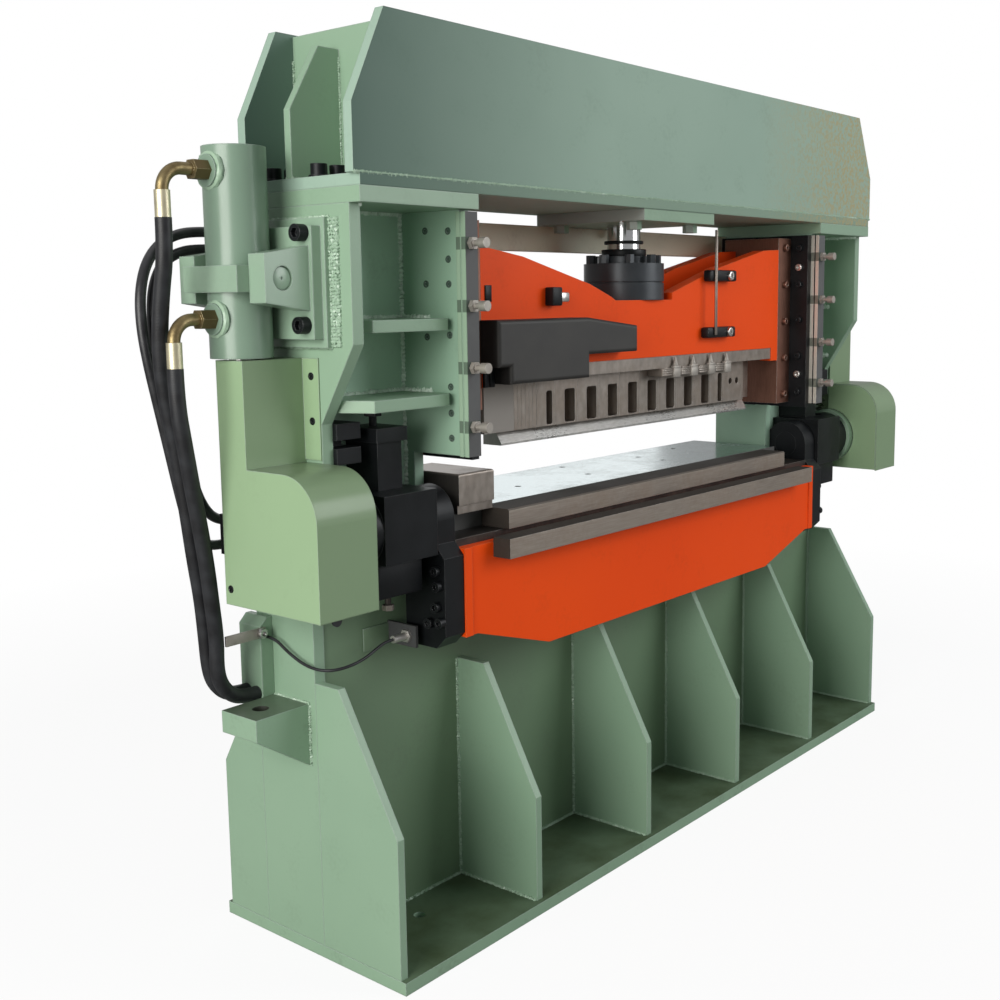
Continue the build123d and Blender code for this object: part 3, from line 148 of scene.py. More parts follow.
def paintFinish(recipe):
    # brushed or sprayed machine paint: slow drift, orange peel, grime, rubbed edges
    look = Finish(recipe["name"], {"Specular IOR Level": recipe["shine"], "Coat Weight": recipe["gloss"],
                                   "Coat Roughness": 0.22})
    drift = look.noise(1.7, 3.0)
    cloud = look.noise(9.0, 4.0)
    fleck = look.noise(95.0, 5.0)
    peel = look.noise(330.0, 2.0)
    sag = look.noise(14.0, 3.0, along=(1.0, 1.0, 0.25))
    edge = look.edge(recipe["edge"])
    base = look.mix(drift.held(1.9, -0.45), recipe["shade"], recipe["colour"])
    grime = (cloud * 0.6 + fleck * 0.4).held(3.2, -1.75)
    base = look.mix(grime * recipe["grime"], base, recipe["dirt"])
    worn = (edge * 4.4 + fleck * 0.75 + cloud * 0.35).held(5.0, -6.1 + recipe["wear"])
    base = look.mix(worn, base, recipe["bare"])
    # top, side and front faces can take their own colour: painted shade on the cover's front and the flange's
    # front, dirt and painted shade on the base's top
    if "top" in recipe:
        base = look.mix(look.facing(ways["top"]) * (0.55 + cloud * 0.6).held(), base, recipe["top"])
    for word in ("side", "front"):
        if word in recipe:
            base = look.mix(look.facing(ways[word]) * 0.85, base, recipe[word])
    if "shadedLeftFront" in recipe:
        # painted shade: front faces darker towards the left end; dust at the right end
        base = look.mix(look.axes()[0].held(-1.1, -0.35) * look.facing(ways["front"]), base, recipe["shadedLeftFront"])
        base = look.mix(look.axes()[0].held(1.8, -0.8) * fleck.held(4.0, -1.5) * 0.9, base, recipe["dusty"])
    if "bore" in recipe:
        # painted shade: the wall of the lug's hole is made near black
        x, y = look.axes()[:2]
        across = (x * x) ** 0.5 - recipe["boreAt"][0]
        along = y - recipe["boreAt"][1]
        inside = (across * across + along * along).within(-1.0, recipe["boreRadius"] ** 2)
        base = look.mix(inside * 0.95, base, recipe["bore"])
    look.bump(peel * 0.5 + sag * 0.8, recipe["peel"], 0.0012)
    rough = (recipe["rough"] + cloud * 0.14 + worn * 0.12).held()
    return look.done(base, rough)


def steelFinish(recipe):
    # machined steel: cutter marks along one axis, brown staining, brighter edges
    look = Finish(recipe["name"], {"Specular IOR Level": recipe["shine"]})
    marks = look.noise(recipe["markScale"], 4.0, along=recipe["marks"])
    blotch = look.noise(5.5, 5.0)
    speck = look.noise(70.0, 5.0)
    edge = look.edge(recipe["edge"])
    base = look.mix(marks.held(1.8, -0.4), recipe["dark"], recipe["colour"])
    stain = (blotch * 0.75 + speck * 0.25).held(4.0, -1.95 + recipe["stained"])
    base = look.mix(stain * recipe["stain"], base, recipe["brown"])
    bright = (edge * 5.0 + speck * 0.5).held(3.0, -2.1)
    base = look.mix(bright, base, recipe["bare"])
    dull = stain * 0.35
    for word, way in ways.items():
        if word in recipe:
            # painted shade: faces that look this way are made dark and dull
            share = look.facing(way) * 0.92
            base = look.mix(share, base, recipe[word])
            dull = dull + share
    if "zone" in recipe:
        where = look.axes()[0].within(*recipe["zone"]) * 0.95
        base = look.mix(where, base, recipe["zoned"])
        dull = dull + where
    for level in recipe.get("pockets", ()):
        # shaded pocket at the height of a screw
        pocket = look.axes()[2].within(level - recipe["halfPocket"], level + recipe["halfPocket"])
        base = look.mix(pocket * 0.75, base, recipe["pocket"])
    look.bump(marks, recipe["relief"], 0.0006)
    rough = (recipe["rough"] + marks * 0.16 + dull * 0.35 - bright * 0.1).held()
    metal = (recipe["metal"] - dull).held()
    return look.done(base, rough, metal)


def blackFinish(recipe):
    # black oxide with a film of oil, rubbed grey on its edges
    look = Finish(recipe["name"], {"Specular IOR Level": recipe["shine"]})
    film = look.noise(13.0, 4.0)
    speck = look.noise(150.0, 4.0)
    edge = look.edge(recipe["edge"])
    base = look.mix(film.held(2.0, -0.5), recipe["dark"], recipe["colour"])
    rubbed = (edge * 4.6 + speck * 0.6 + film * 0.3).held(4.0, -4.6)
    base = look.mix(rubbed * 0.8, base, recipe["bare"])
    look.bump(speck, 0.12, 0.0005)
    rough = (recipe["rough"] + film * 0.25 - rubbed * 0.1).held()
    metal = (recipe["metal"] + rubbed * 0.3).held()
    return look.done(base, rough, metal)


def rubberFinish(recipe):
    # black rubber or plastic, a little chalky with dust
    look = Finish(recipe["name"], {"Specular IOR Level": 0.4})
    dust = look.noise(24.0, 5.0)
    grain = look.noise(420.0, 2.0)
    weave = look.node("ShaderNodeTexWave", {"wave_type": "BANDS", "bands_direction": "DIAGONAL"},
                      {"Vector": look.place, "Scale": 130.0, "Distortion": 2.0, "Detail": 1.0})[1]
    base = look.mix(dust.held(2.4, -0.9), recipe["colour"], recipe["dusty"])
    look.bump(grain * 0.6 + weave * recipe["weave"], 0.25, 0.0006)
    return look.done(base, (recipe["rough"] + dust * 0.2).held())


def brassFinish(recipe):
    # passivated brass and bronze with brown patina in the hollows
    look = Finish(recipe["name"], {"Specular IOR Level": 0.5})
    patina = look.noise(32.0, 5.0)
    turned = look.noise(240.0, 2.0, along=(3.0, 1.0, 1.0))
    edge = look.edge(0.0015)
    base = look.mix(patina.held(3.0, -1.1), recipe["colour"], recipe["patina"])
    if "sleeves" in recipe:
        # pale sleeves at the hose ends, dark nuts at the cylinder
        x, z = look.axes()[::2]
        lower, upper = (z.within(*rises) for rises in recipe["sleeveRises"])
        ends = (lower + upper) * (x * x).within(*(reach ** 2 for reach in recipe["sleeveReach"]))
        base = look.mix(ends.held(), base, recipe["sleeves"])
        nuts = (x * x).within(*(reach ** 2 for reach in recipe["nutReach"]))
        base = look.mix(nuts.held(0.8), base, recipe["nuts"])
    bright = (edge * 5.0).held(1.0, -0.25)
    base = look.mix(bright, base, recipe["bare"])
    look.bump(turned, 0.1, 0.0004)
    rough = (recipe["rough"] + patina * 0.25 - bright * 0.1).held()
    metal = (0.95 - patina * 0.25).held()
    return look.done(base, rough, metal)


greenRecipe = {
    "name": "greenMachinePaint",
    "colour": (0.275, 0.405, 0.285, 1),
    "shade": (0.235, 0.36, 0.25, 1),
    "dirt": (0.13, 0.17, 0.12, 1),
    "bare": (0.50, 0.60, 0.55, 1),
    "shine": 0.4,
    "rough": 0.40,
    "gloss": 0.18,
    "grime": 0.28,
    "wear": 0.35,
    "peel": 0.16,
    "edge": 0.004,
}
glossGreenRecipe = dict(greenRecipe, name="glossGreenPaint", rough=0.24, gloss=0.5, grime=0.15,
                        colour=(0.285, 0.405, 0.30, 1), shade=(0.26, 0.375, 0.275, 1))
# cover: front faces painted darker as shade, top faces darker
coverRecipe = dict(glossGreenRecipe, name="yellowGreenCover", colour=(0.30, 0.43, 0.255, 1),
                   shade=(0.275, 0.395, 0.235, 1), gloss=0.2, shine=0.25, top=(0.15, 0.205, 0.12, 1),
                   front=(0.225, 0.32, 0.19, 1))
# lug: darker top face, and the wall of its hole painted near black as shade
lugRecipe = dict(greenRecipe, name="dirtyLugShadedHole", top=(0.085, 0.115, 0.075, 1), grime=0.5,
                 bore=(0.02, 0.017, 0.014, 1), boreAt=(1.29, 0.037), boreRadius=0.0187)
# cylinders: a darker copy of the gloss green as painted shade
barrelRecipe = dict(glossGreenRecipe, name="shadedCylinderPaint", colour=(0.215, 0.31, 0.235, 1),
                    shade=(0.185, 0.275, 0.205, 1), rough=0.26, gloss=0.3)
# welds: paler than the green as painted highlight on the beads
weldRecipe = dict(greenRecipe, name="highlitGreenWeld", colour=(0.36, 0.50, 0.37, 1),
                  shade=(0.30, 0.43, 0.31, 1), rough=0.3, gloss=0.4, edge=0.001)
# seam beads: near white-green as painted highlight
seamRecipe = dict(weldRecipe, name="highlitSeam", colour=(0.84, 0.95, 0.85, 1),
                  shade=(0.60, 0.74, 0.62, 1))
# beam: front faces painted darker towards the left end as shade, dusty at the right end
beamRecipe = dict(greenRecipe, name="greyGreenBeam", colour=(0.335, 0.46, 0.375, 1),
                  shade=(0.285, 0.40, 0.325, 1), shadedLeftFront=(0.085, 0.145, 0.115, 1),
                  dusty=(0.40, 0.34, 0.18, 1), rough=0.46, gloss=0.04, shine=0.16)
# flange: front faces painted darker still, as shade
flangeRecipe = dict(beamRecipe, name="greyGreenFlange", front=(0.22, 0.31, 0.235, 1))
# webs: a paler copy of the green as painted light in the shaded bays
webRecipe = dict(greenRecipe, name="litGreenWeb", colour=(0.49, 0.69, 0.54, 1),
                 shade=(0.43, 0.62, 0.48, 1))
# inner plates: a paler copy of the green as painted light
innerRecipe = dict(greenRecipe, name="litInnerPlate", colour=(0.325, 0.485, 0.365, 1),
                   shade=(0.28, 0.43, 0.315, 1))
# plate screws: dark green heads as painted shade in their holes
sunkRecipe = dict(greenRecipe, name="shadedSunkScrew", colour=(0.07, 0.11, 0.085, 1),
                  shade=(0.045, 0.075, 0.055, 1), edge=0.001)
mountRecipe = dict(greenRecipe, name="halfPaintedMount", side=(0.30, 0.31, 0.30, 1))
# tie bar: paint made about twice as pale as painted light under the beam, stained with grime
tieRecipe = dict(greenRecipe, name="stainedLitTieBar", colour=(0.86, 0.90, 0.72, 1),
                 shade=(0.70, 0.74, 0.56, 1), grime=0.5, dirt=(0.40, 0.40, 0.27, 1))
# base: top faces darker with dirt and painted shade
baseGreenRecipe = dict(greenRecipe, name="trampledGreenPaintShadedTop", grime=0.75, wear=0.75, rough=0.5,
                       gloss=0.05, shine=0.25, top=(0.055, 0.083, 0.04, 1))
# a darker copy of the green for the low plates: painted shade in the bays, with grime
lowGreenRecipe = dict(greenRecipe, name="dirtyShadedLowPaint", colour=(0.175, 0.27, 0.165, 1),
                      shade=(0.145, 0.225, 0.135, 1), grime=0.6)
orangeRecipe = {
    "name": "orangeBeamPaint",
    "colour": (0.97, 0.086, 0.005, 1),
    "shade": (0.92, 0.074, 0.004, 1),
    "dirt": (0.38, 0.045, 0.012, 1),
    "bare": (0.92, 0.22, 0.08, 1),
    "shine": 0.12,
    "rough": 0.42,
    "gloss": 0.06,
    "grime": 0.22,
    "wear": 0.30,
    "peel": 0.14,
    "edge": 0.0035,
}
toolRecipe = {
    "name": "brownedToolSteel",
    "colour": (0.36, 0.32, 0.285, 1),
    "dark": (0.235, 0.205, 0.18, 1),
    "brown": (0.17, 0.115, 0.075, 1),
    "bare": (0.60, 0.57, 0.53, 1),
    "marks": (1.0, 9.0, 0.6),
    "markScale": 55.0,
    "stained": 0.1,
    "stain": 0.55,
    "relief": 0.16,
    "rough": 0.34,
    "metal": 0.85,
    "shine": 0.5,
    "edge": 0.002,
}
segmentRecipe = dict(toolRecipe, name="segmentSteel", zone=(-0.6755, -0.5605),
                     zoned=(0.36, 0.33, 0.30, 1))
# blade: dark top with dark oxide and painted shade; left side painted dark as shade
bladeRecipe = dict(toolRecipe, name="millMarkedBlade", marks=(0.5, 12.0, 12.0), markScale=30.0, stain=0.5,
                   colour=(0.42, 0.365, 0.315, 1), dark=(0.30, 0.25, 0.215, 1),
                   top=(0.025, 0.023, 0.021, 1), side=(0.02, 0.016, 0.013, 1), shine=0.15)
# side stop: its left side painted near black as the column's shadow
stopRecipe = dict(toolRecipe, name="millScaleBlockShadedSide", side=(0.008, 0.008, 0.008, 1), stain=0.4, shine=0.15)
zincRecipe = dict(toolRecipe, name="dullZinc", colour=(0.42, 0.39, 0.355, 1),
                  dark=(0.31, 0.285, 0.255, 1), stain=0.35, metal=0.55, rough=0.42)
railRecipe = dict(toolRecipe, name="oiledRailSteel", colour=(0.075, 0.068, 0.063, 1),
                  dark=(0.035, 0.032, 0.03, 1), marks=(9.0, 9.0, 0.5), stain=0.4, rough=0.36,
                  bare=(0.30, 0.28, 0.26, 1))
# gib bars: front faces painted dark as shade; the outer side zone is green paint
gibRecipe = dict(toolRecipe, name="groundGibBar", colour=(0.72, 0.68, 0.60, 1),
                 dark=(0.60, 0.56, 0.49, 1), stain=0.2, metal=0.45, marks=(9.0, 9.0, 0.5),
                 front=(0.055, 0.06, 0.068, 1), rough=0.3, zone=(-0.884, -0.8795),
                 zoned=(0.275, 0.405, 0.285, 1), pockets=(1.215, 1.35, 1.49, 1.63), halfPocket=0.014,
                 pocket=(0.05, 0.075, 0.055, 1))
switchRecipe = dict(toolRecipe, name="switchSteel", colour=(0.62, 0.60, 0.57, 1),
                    dark=(0.48, 0.46, 0.44, 1), stain=0.2, zone=(-0.9685, -0.9595),
                    zoned=(0.03, 0.032, 0.035, 1))
# slide: brown steel, tinted red as painted reflection of the orange plates
slideRecipe = dict(toolRecipe, name="brownSlideOrangeReflection", colour=(0.27, 0.135, 0.095, 1),
                   dark=(0.17, 0.08, 0.058, 1), brown=(0.14, 0.06, 0.035, 1), marks=(9.0, 9.0, 0.5),
                   stain=0.7, rough=0.4)
brightRecipe = dict(toolRecipe, name="groundSteel", colour=(0.66, 0.65, 0.63, 1),
                    dark=(0.50, 0.49, 0.47, 1), brown=(0.30, 0.25, 0.20, 1), stain=0.3, rough=0.2,
                    metal=1.0, bare=(0.8, 0.8, 0.79, 1))
chromeRecipe = dict(brightRecipe, name="chromedRod", colour=(0.72, 0.73, 0.74, 1),
                    dark=(0.62, 0.63, 0.64, 1), stain=0.08, rough=0.06, relief=0.03,
                    marks=(1.0, 1.0, 14.0))
# table: bluish tone as painted reflection; front face painted dark as shade
tableRecipe = dict(brightRecipe, name="polishedTable", colour=(0.42, 0.50, 0.50, 1),
                   dark=(0.34, 0.41, 0.42, 1), stain=0.15, rough=0.1, relief=0.05, marks=(14.0, 0.6, 1.0),
                   markScale=34.0, front=(0.05, 0.043, 0.038, 1))
blackRecipe = {
    "name": "blackOxide",
    "colour": (0.011, 0.0125, 0.0145, 1),
    "dark": (0.005, 0.006, 0.007, 1),
    "shine": 0.25,
    "bare": (0.16, 0.165, 0.17, 1),
    "rough": 0.3,
    "metal": 0.2,
    "edge": 0.0025,
}
couplingRecipe = dict(blackRecipe, name="satinBlackDisc", shine=0.5, metal=0.35,
                      colour=(0.055, 0.062, 0.07, 1), dark=(0.035, 0.04, 0.046, 1), rough=0.26)
unitRecipe = dict(blackRecipe, name="darkDriveUnit", shine=0.5, metal=0.35,
                  colour=(0.05, 0.048, 0.045, 1), dark=(0.03, 0.029, 0.028, 1), rough=0.42)
hoseRecipe = {"name": "hoseRubber", "colour": (0.011, 0.011, 0.013, 1), "dusty": (0.03, 0.032, 0.037, 1),
              "weave": 0.5, "rough": 0.36}
conduitRecipe = {"name": "conduitPlastic", "colour": (0.014, 0.014, 0.016, 1),
                 "dusty": (0.045, 0.045, 0.05, 1), "weave": 0.0, "rough": 0.24}
brassRecipe = {"name": "dullBrass", "colour": (0.31, 0.245, 0.125, 1), "patina": (0.13, 0.09, 0.038, 1),
               "bare": (0.6, 0.52, 0.33, 1), "rough": 0.3, "sleeves": (0.60, 0.55, 0.39, 1),
               "sleeveRises": ((1.372, 1.4248), (1.673, 1.7268)), "sleeveReach": (1.4595, 1.5492),
               "nuts": (0.15, 0.105, 0.05, 1), "nutReach": (1.2247, 1.4183)}
bronzeRecipe = {"name": "turnedBronze", "colour": (0.40, 0.27, 0.14, 1), "patina": (0.20, 0.12, 0.06, 1),
                "bare": (0.66, 0.52, 0.34, 1), "rough": 0.3}

makers = {
    paintFinish: {
        "green": greenRecipe, "glossGreen": glossGreenRecipe, "cover": coverRecipe, "lug": lugRecipe,
        "barrel": barrelRecipe, "baseGreen": baseGreenRecipe, "lowGreen": lowGreenRecipe, "weld": weldRecipe,
        "beam": beamRecipe, "web": webRecipe, "seam": seamRecipe, "flange": flangeRecipe, "inner": innerRecipe,
        "sunk": sunkRecipe, "mount": mountRecipe, "tie": tieRecipe, "orange": orangeRecipe},
    steelFinish: {
        "tool": toolRecipe, "segment": segmentRecipe, "blade": bladeRecipe, "rail": railRecipe,
        "stop": stopRecipe, "zinc": zincRecipe, "gib": gibRecipe, "switch": switchRecipe, "slide": slideRecipe,
        "bright": brightRecipe, "chrome": chromeRecipe, "table": tableRecipe},
    blackFinish: {"black": blackRecipe, "disc": couplingRecipe, "unit": unitRecipe},
    rubberFinish: {"hose": hoseRecipe, "conduit": conduitRecipe},
    brassFinish: {"brass": brassRecipe, "bronze": bronzeRecipe},
}
finishes = {word: make(recipe) for make, group in makers.items() for word, recipe in group.items()}
print("finishes made:", len(finishes))

nodeFinish = {
    "baseGreen": ["base_plate"],
    "lowGreen": ["base_long_plates"],
    "green": ["base_ribs", "end_ribs", "column_side_plates", "column_shelves", "column_head_plates",
              "bed_plate", "beam_end_plates", "beam_top_plate", "clamp_cylinder", "hose_blocks"],
    "lug": ["side_lugs"],
    "beam": ["beam_side_plates"],
    "flange": ["beam_flange"],
    "inner": ["column_inner_plates"],
    "web": ["column_webs"],
    "glossGreen": ["trunnion_brackets", "trunnion_collars"],
    "barrel": ["drive_cylinders"],
    "cover": ["drive_covers"],
    "mount": ["cylinder_mount"],
    "tie": ["rear_tie_bar"],
    "orange": ["clamp_plates", "clamp_saddle", "fold_apron"],
    "tool": ["tool_holder"],
    "segment": ["tool_segments"],
    "stop": ["side_stop"],
    "zinc": ["gib_screws"],
    "blade": ["fold_blade", "lower_bar"],
    "rail": ["fold_core"],
    "slide": ["clamp_slides"],
    "gib": ["gib_bars"],
    "switch": ["proximity_switch"],
    "bright": ["nose_blade", "pinions", "left_rack", "right_rack"],
    "chrome": ["clamp_ram"],
    "table": ["table_plate"],
    "black": ["guide_rails", "beam_bolts", "bearing_housings", "housing_adjusters", "trunnion_bolts",
              "rack_guides", "end_arms", "arm_bolts", "fold_shafts"],
    "disc": ["ram_coupling"],
    "unit": ["segment_drive"],
    "brass": ["port_fittings"],
    "bronze": ["shaft_bushes"],
}
for finish, members in nodeFinish.items():
    for member in members:
        mesh = nodes[member].data
        mesh.materials.clear()
        mesh.materials.append(finishes[finish])
print("CAD nodes painted")


def unpick():
    if bpy.context.object and bpy.context.object.mode != "OBJECT":
        bpy.ops.object.mode_set(mode="OBJECT")
    bpy.ops.object.select_all(action="DESELECT")


def choose(piece, kind, test):
    # into edit mode with only the vertices, edges or faces picked that pass the test
    bpy.ops.object.mode_set(mode="EDIT")
    bpy.ops.mesh.select_mode(type=kind)
    bpy.ops.mesh.select_all(action="DESELECT")
    bpy.ops.object.mode_set(mode="OBJECT")
    mesh = piece.data
    if kind == "VERT":
        for vertex in mesh.vertices:
            vertex.select = test(vertex.co)
    elif kind == "EDGE":
        for line in mesh.edges:
            line.select = test(*(mesh.vertices[end].co for end in line.vertices))
    else:
        for face in mesh.polygons:
            face.select = test(face.center, face.normal)
    bpy.ops.object.mode_set(mode="EDIT")


def cordCurve(name, route, radius):
    # a smooth NURBS line over the route's points, in metres
    curve = bpy.data.curves.new(name, "CURVE")
    curve.dimensions = "3D"
    spline = curve.splines.new("NURBS")
    spline.points.add(len(route) - 1)
    for point, (x, y, z) in zip(spline.points, route):
        point.co = (x, y, z, 1)
    spline.order_u = 3
    spline.use_endpoint_u = True
    spline.resolution_u = 10
    curve.bevel_depth = radius
    curve.bevel_resolution = 5
    curve.use_fill_caps = True
    cord = bpy.data.objects.new(name, curve)
    bpy.context.scene.collection.objects.link(cord)
    return cord


def splinePoints(cord):
    # the points of the smooth line itself, read with no bevel
    depth = cord.data.bevel_depth
    cord.data.bevel_depth = 0
    line = bpy.data.meshes.new_from_object(cord.evaluated_get(bpy.context.evaluated_depsgraph_get()))
    points = [vertex.co.copy() for vertex in line.vertices]
    bpy.data.meshes.remove(line)
    cord.data.bevel_depth = depth
    return points


hoses = {
    "upperHose": {
        "node": "upper_hose", "diameter": 0.034, "length": 1.153, "finish": "hose", "stiffness": "stiff",
        "route": [
            (-1.488, 0.022, 1.673), (-1.488, 0.022, 1.6), (-1.486, 0.044, 1.525), (-1.482, 0.064, 1.44),
            (-1.471, 0.08, 1.355), (-1.448, 0.092, 1.262), (-1.424, 0.103, 1.16), (-1.403, 0.112, 1.05),
            (-1.385, 0.122, 0.95), (-1.362, 0.136, 0.86), (-1.348, 0.147, 0.77), (-1.34, 0.152, 0.69),
            (-1.327, 0.153, 0.652), (-1.303, 0.153, 0.625), (-1.271, 0.153, 0.612), (-1.235, 0.153, 0.612)],
    },
    "lowerHose": {
        "node": "lower_hose", "diameter": 0.034, "length": 0.854, "finish": "hose", "stiffness": "stiff",
        "route": [
            (-1.478, 0.022, 1.372), (-1.478, 0.022, 1.3), (-1.461, 0.028, 1.215), (-1.437, 0.042, 1.12),
            (-1.411, 0.057, 1.025), (-1.388, 0.072, 0.935), (-1.369, 0.088, 0.85), (-1.348, 0.106, 0.766),
            (-1.345, 0.115, 0.69), (-1.332, 0.117, 0.652), (-1.307, 0.117, 0.625), (-1.273, 0.117, 0.612),
            (-1.235, 0.117, 0.612)],
    },
    "switchCable": {
        "node": "switch_cable", "diameter": 0.007, "length": 0.398, "finish": "hose", "stiffness": "medium",
        "route": [
            (-1.218, 0.097, 0.745), (-1.218, 0.066, 0.745), (-1.217, 0.028, 0.722), (-1.215, -0.018, 0.702),
            (-1.212, -0.062, 0.694), (-1.2, -0.098, 0.694), (-1.165, -0.116, 0.698), (-1.12, -0.12, 0.706),
            (-1.075, -0.113, 0.718), (-1.04, -0.106, 0.726), (-1.015, -0.106, 0.726)],
    },
}
for name, spec in hoses.items():
    cord = cordCurve(name, spec["route"], spec["diameter"] / 2)
    cord.data.materials.append(finishes[spec["finish"]])
    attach(cord, "machine_frame")
    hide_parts(spec["node"])

conduits = {
    "outerConduit": {
        "node": "outer_conduit", "length": 1.044,
        "route": [
            (-1.2, 0.203, 1.66), (-1.265, 0.203, 1.66), (-1.33, 0.199, 1.654), (-1.388, 0.189, 1.63),
            (-1.434, 0.173, 1.586), (-1.461, 0.158, 1.525), (-1.468, 0.148, 1.455), (-1.46, 0.143, 1.38),
            (-1.442, 0.143, 1.295), (-1.42, 0.145, 1.2), (-1.4, 0.147, 1.11), (-1.378, 0.152, 1.03),
            (-1.345, 0.165, 0.98), (-1.3, 0.184, 0.96), (-1.255, 0.193, 0.955), (-1.2, 0.193, 0.955)],
    },
    "innerConduit": {
        "node": "inner_conduit", "length": 0.901,
        "route": [
            (-1.2, 0.203, 1.622), (-1.265, 0.203, 1.622), (-1.326, 0.2, 1.616), (-1.378, 0.191, 1.592),
            (-1.414, 0.177, 1.545), (-1.432, 0.163, 1.485), (-1.434, 0.152, 1.415), (-1.419, 0.144, 1.34),
            (-1.396, 0.14, 1.25), (-1.376, 0.143, 1.165), (-1.35, 0.152, 1.09), (-1.315, 0.168, 1.042),
            (-1.275, 0.186, 1.017), (-1.24, 0.193, 1.01), (-1.2, 0.193, 1.01)],
    },
}
ribShape = {"diameter": 0.028, "groove": 0.0026, "pitch": 0.0096, "sides": 20, "wall": 0.0018}


def ribbedTube(name, line, shape):
    # one corrugation is modelled, repeated, and led along the smooth line
    unpick()
    pitch = shape["pitch"]
    high = shape["diameter"] / 2
    low = high - shape["groove"]
    bpy.ops.mesh.primitive_cylinder_add(vertices=shape["sides"], radius=low, depth=pitch,
                                        end_fill_type="NOTHING", location=(pitch / 2, 0, 0),
                                        rotation=(0, math.pi / 2, 0))
    tube = bpy.context.object
    bpy.ops.object.transform_apply(location=True, rotation=True, scale=True)
    bpy.ops.object.mode_set(mode="EDIT")
    bpy.ops.mesh.select_all(action="SELECT")
    bpy.ops.mesh.subdivide_edgering(number_cuts=4)
    choose(tube, "VERT", lambda place: 0.3 < place.x / pitch < 0.7)
    bpy.ops.transform.resize(value=(1, high / low, high / low), center_override=(pitch / 2, 0, 0))
    bpy.ops.object.mode_set(mode="OBJECT")
    ribs = tube.modifiers.new("ribs", "ARRAY")
    ribs.fit_type = "FIT_CURVE"
    ribs.curve = line
    ribs.use_relative_offset = True
    ribs.relative_offset_displace = (1, 0, 0)
    ribs.use_merge_vertices = True
    ribs.merge_threshold = 0.0002
    lead = tube.modifiers.new("lead", "CURVE")
    lead.object = line
    lead.deform_axis = "POS_X"
    bpy.ops.object.modifier_apply(modifier="ribs")
    bpy.ops.object.modifier_apply(modifier="lead")
    wall = tube.modifiers.new("wall", "SOLIDIFY")
    wall.thickness = shape["wall"]
    wall.offset = -1
    bpy.ops.object.modifier_apply(modifier="wall")
    bpy.ops.object.shade_smooth_by_angle(angle=math.radians(38))
    tube.name = name
    tube.data.materials.append(finishes["conduit"])
    return tube


for name, spec in conduits.items():
    guide = cordCurve(name + "Line", spec["route"], 0)
    tube = ribbedTube(name, guide, ribShape)
    path = splinePoints(guide)
    bpy.data.objects.remove(guide)
    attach(tube, "machine_frame")
    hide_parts(spec["node"])
print("hoses, conduits and cable laid")


def settled(piece, name, finish, body):
    # transforms go into the mesh, then the piece is named, painted and hung on its body
    unpick()
    piece.select_set(True)
    bpy.context.view_layer.objects.active = piece
    bpy.ops.object.transform_apply(location=True, rotation=True, scale=True)
    bpy.ops.object.shade_smooth_by_angle(angle=math.radians(35))
    piece.name = name
    piece.data.materials.clear()
    piece.data.materials.append(finishes[finish])
    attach(piece, body)
    return piece


def joined(pieces):
    unpick()
    for piece in pieces:
        piece.select_set(True)
    bpy.context.view_layer.objects.active = pieces[0]
    if len(pieces) > 1:
        bpy.ops.object.join()
    return bpy.context.object


def roundBlock(low, high, edge):
    # a block between two corners with every edge rounded
    unpick()
    middle = [(a + b) / 2 for a, b in zip(low, high)]
    size = [b - a for a, b in zip(low, high)]
    bpy.ops.mesh.primitive_cube_add(size=1, location=middle, scale=size)
    bpy.ops.object.transform_apply(location=True, rotation=True, scale=True)
    if edge:
        bpy.ops.object.mode_set(mode="EDIT")
        bpy.ops.mesh.select_all(action="SELECT")
        bpy.ops.mesh.bevel(offset=edge, segments=2)
        bpy.ops.object.mode_set(mode="OBJECT")
    return bpy.context.object


def movedBlock(spec, along, rise=0):
    # the same block further along and higher up
    low, high = ((x + along, y, z + rise) for x, y, z in (spec["low"], spec["high"]))
    return roundBlock(low, high, spec["edge"])


def roundBar(place, low, high, radius, rim, sides):
    # an upright round bar or disc with both rims rounded
    unpick()
    bpy.ops.mesh.primitive_cylinder_add(vertices=sides, radius=radius, depth=high - low,
                                        location=(*place, (low + high) / 2))
    bar = bpy.context.object
    choose(bar, "EDGE", lambda a, b: abs(a.z - b.z) < 0.001)
    bpy.ops.mesh.bevel(offset=rim, segments=2)
    bpy.ops.object.mode_set(mode="OBJECT")
    return bar


def screwModel(spec):
    # a head on the plane z = 0: rounded rim, socket sunk into its top
    unpick()
    high = spec["high"]
    bpy.ops.mesh.primitive_cylinder_add(vertices=spec["sides"], radius=spec["radius"], depth=high,
                                        location=(0, 0, high / 2))
    screw = bpy.context.object
    bpy.ops.object.transform_apply(location=True, rotation=True, scale=True)
    choose(screw, "EDGE", lambda a, b: min(a.z, b.z) > high * 0.99)
    bpy.ops.mesh.bevel(offset=spec["rim"], segments=2)
    choose(screw, "FACE", lambda middle, way: way.z > 0.99 and middle.z > high * 0.99)
    bpy.ops.mesh.inset(thickness=spec["radius"] - spec["rim"] - spec["socket"])
    bpy.ops.mesh.extrude_region_move(TRANSFORM_OT_translate={"value": (0, 0, -spec["deep"])})
    bpy.ops.object.mode_set(mode="OBJECT")
    return screw


def spread(name, model, places, way, finish, body):
    # copies of one model, each with its own mesh, turned to look one way
    turn = Vector(way).to_track_quat("Z", "Y").to_euler()
    copies = []
    for place in places:
        copy = model.copy()
        copy.data = model.data.copy()
        copy.location = place
        copy.rotation_euler = turn
        bpy.context.scene.collection.objects.link(copy)
        copies.append(copy)
    return settled(joined(copies), name, finish, body)


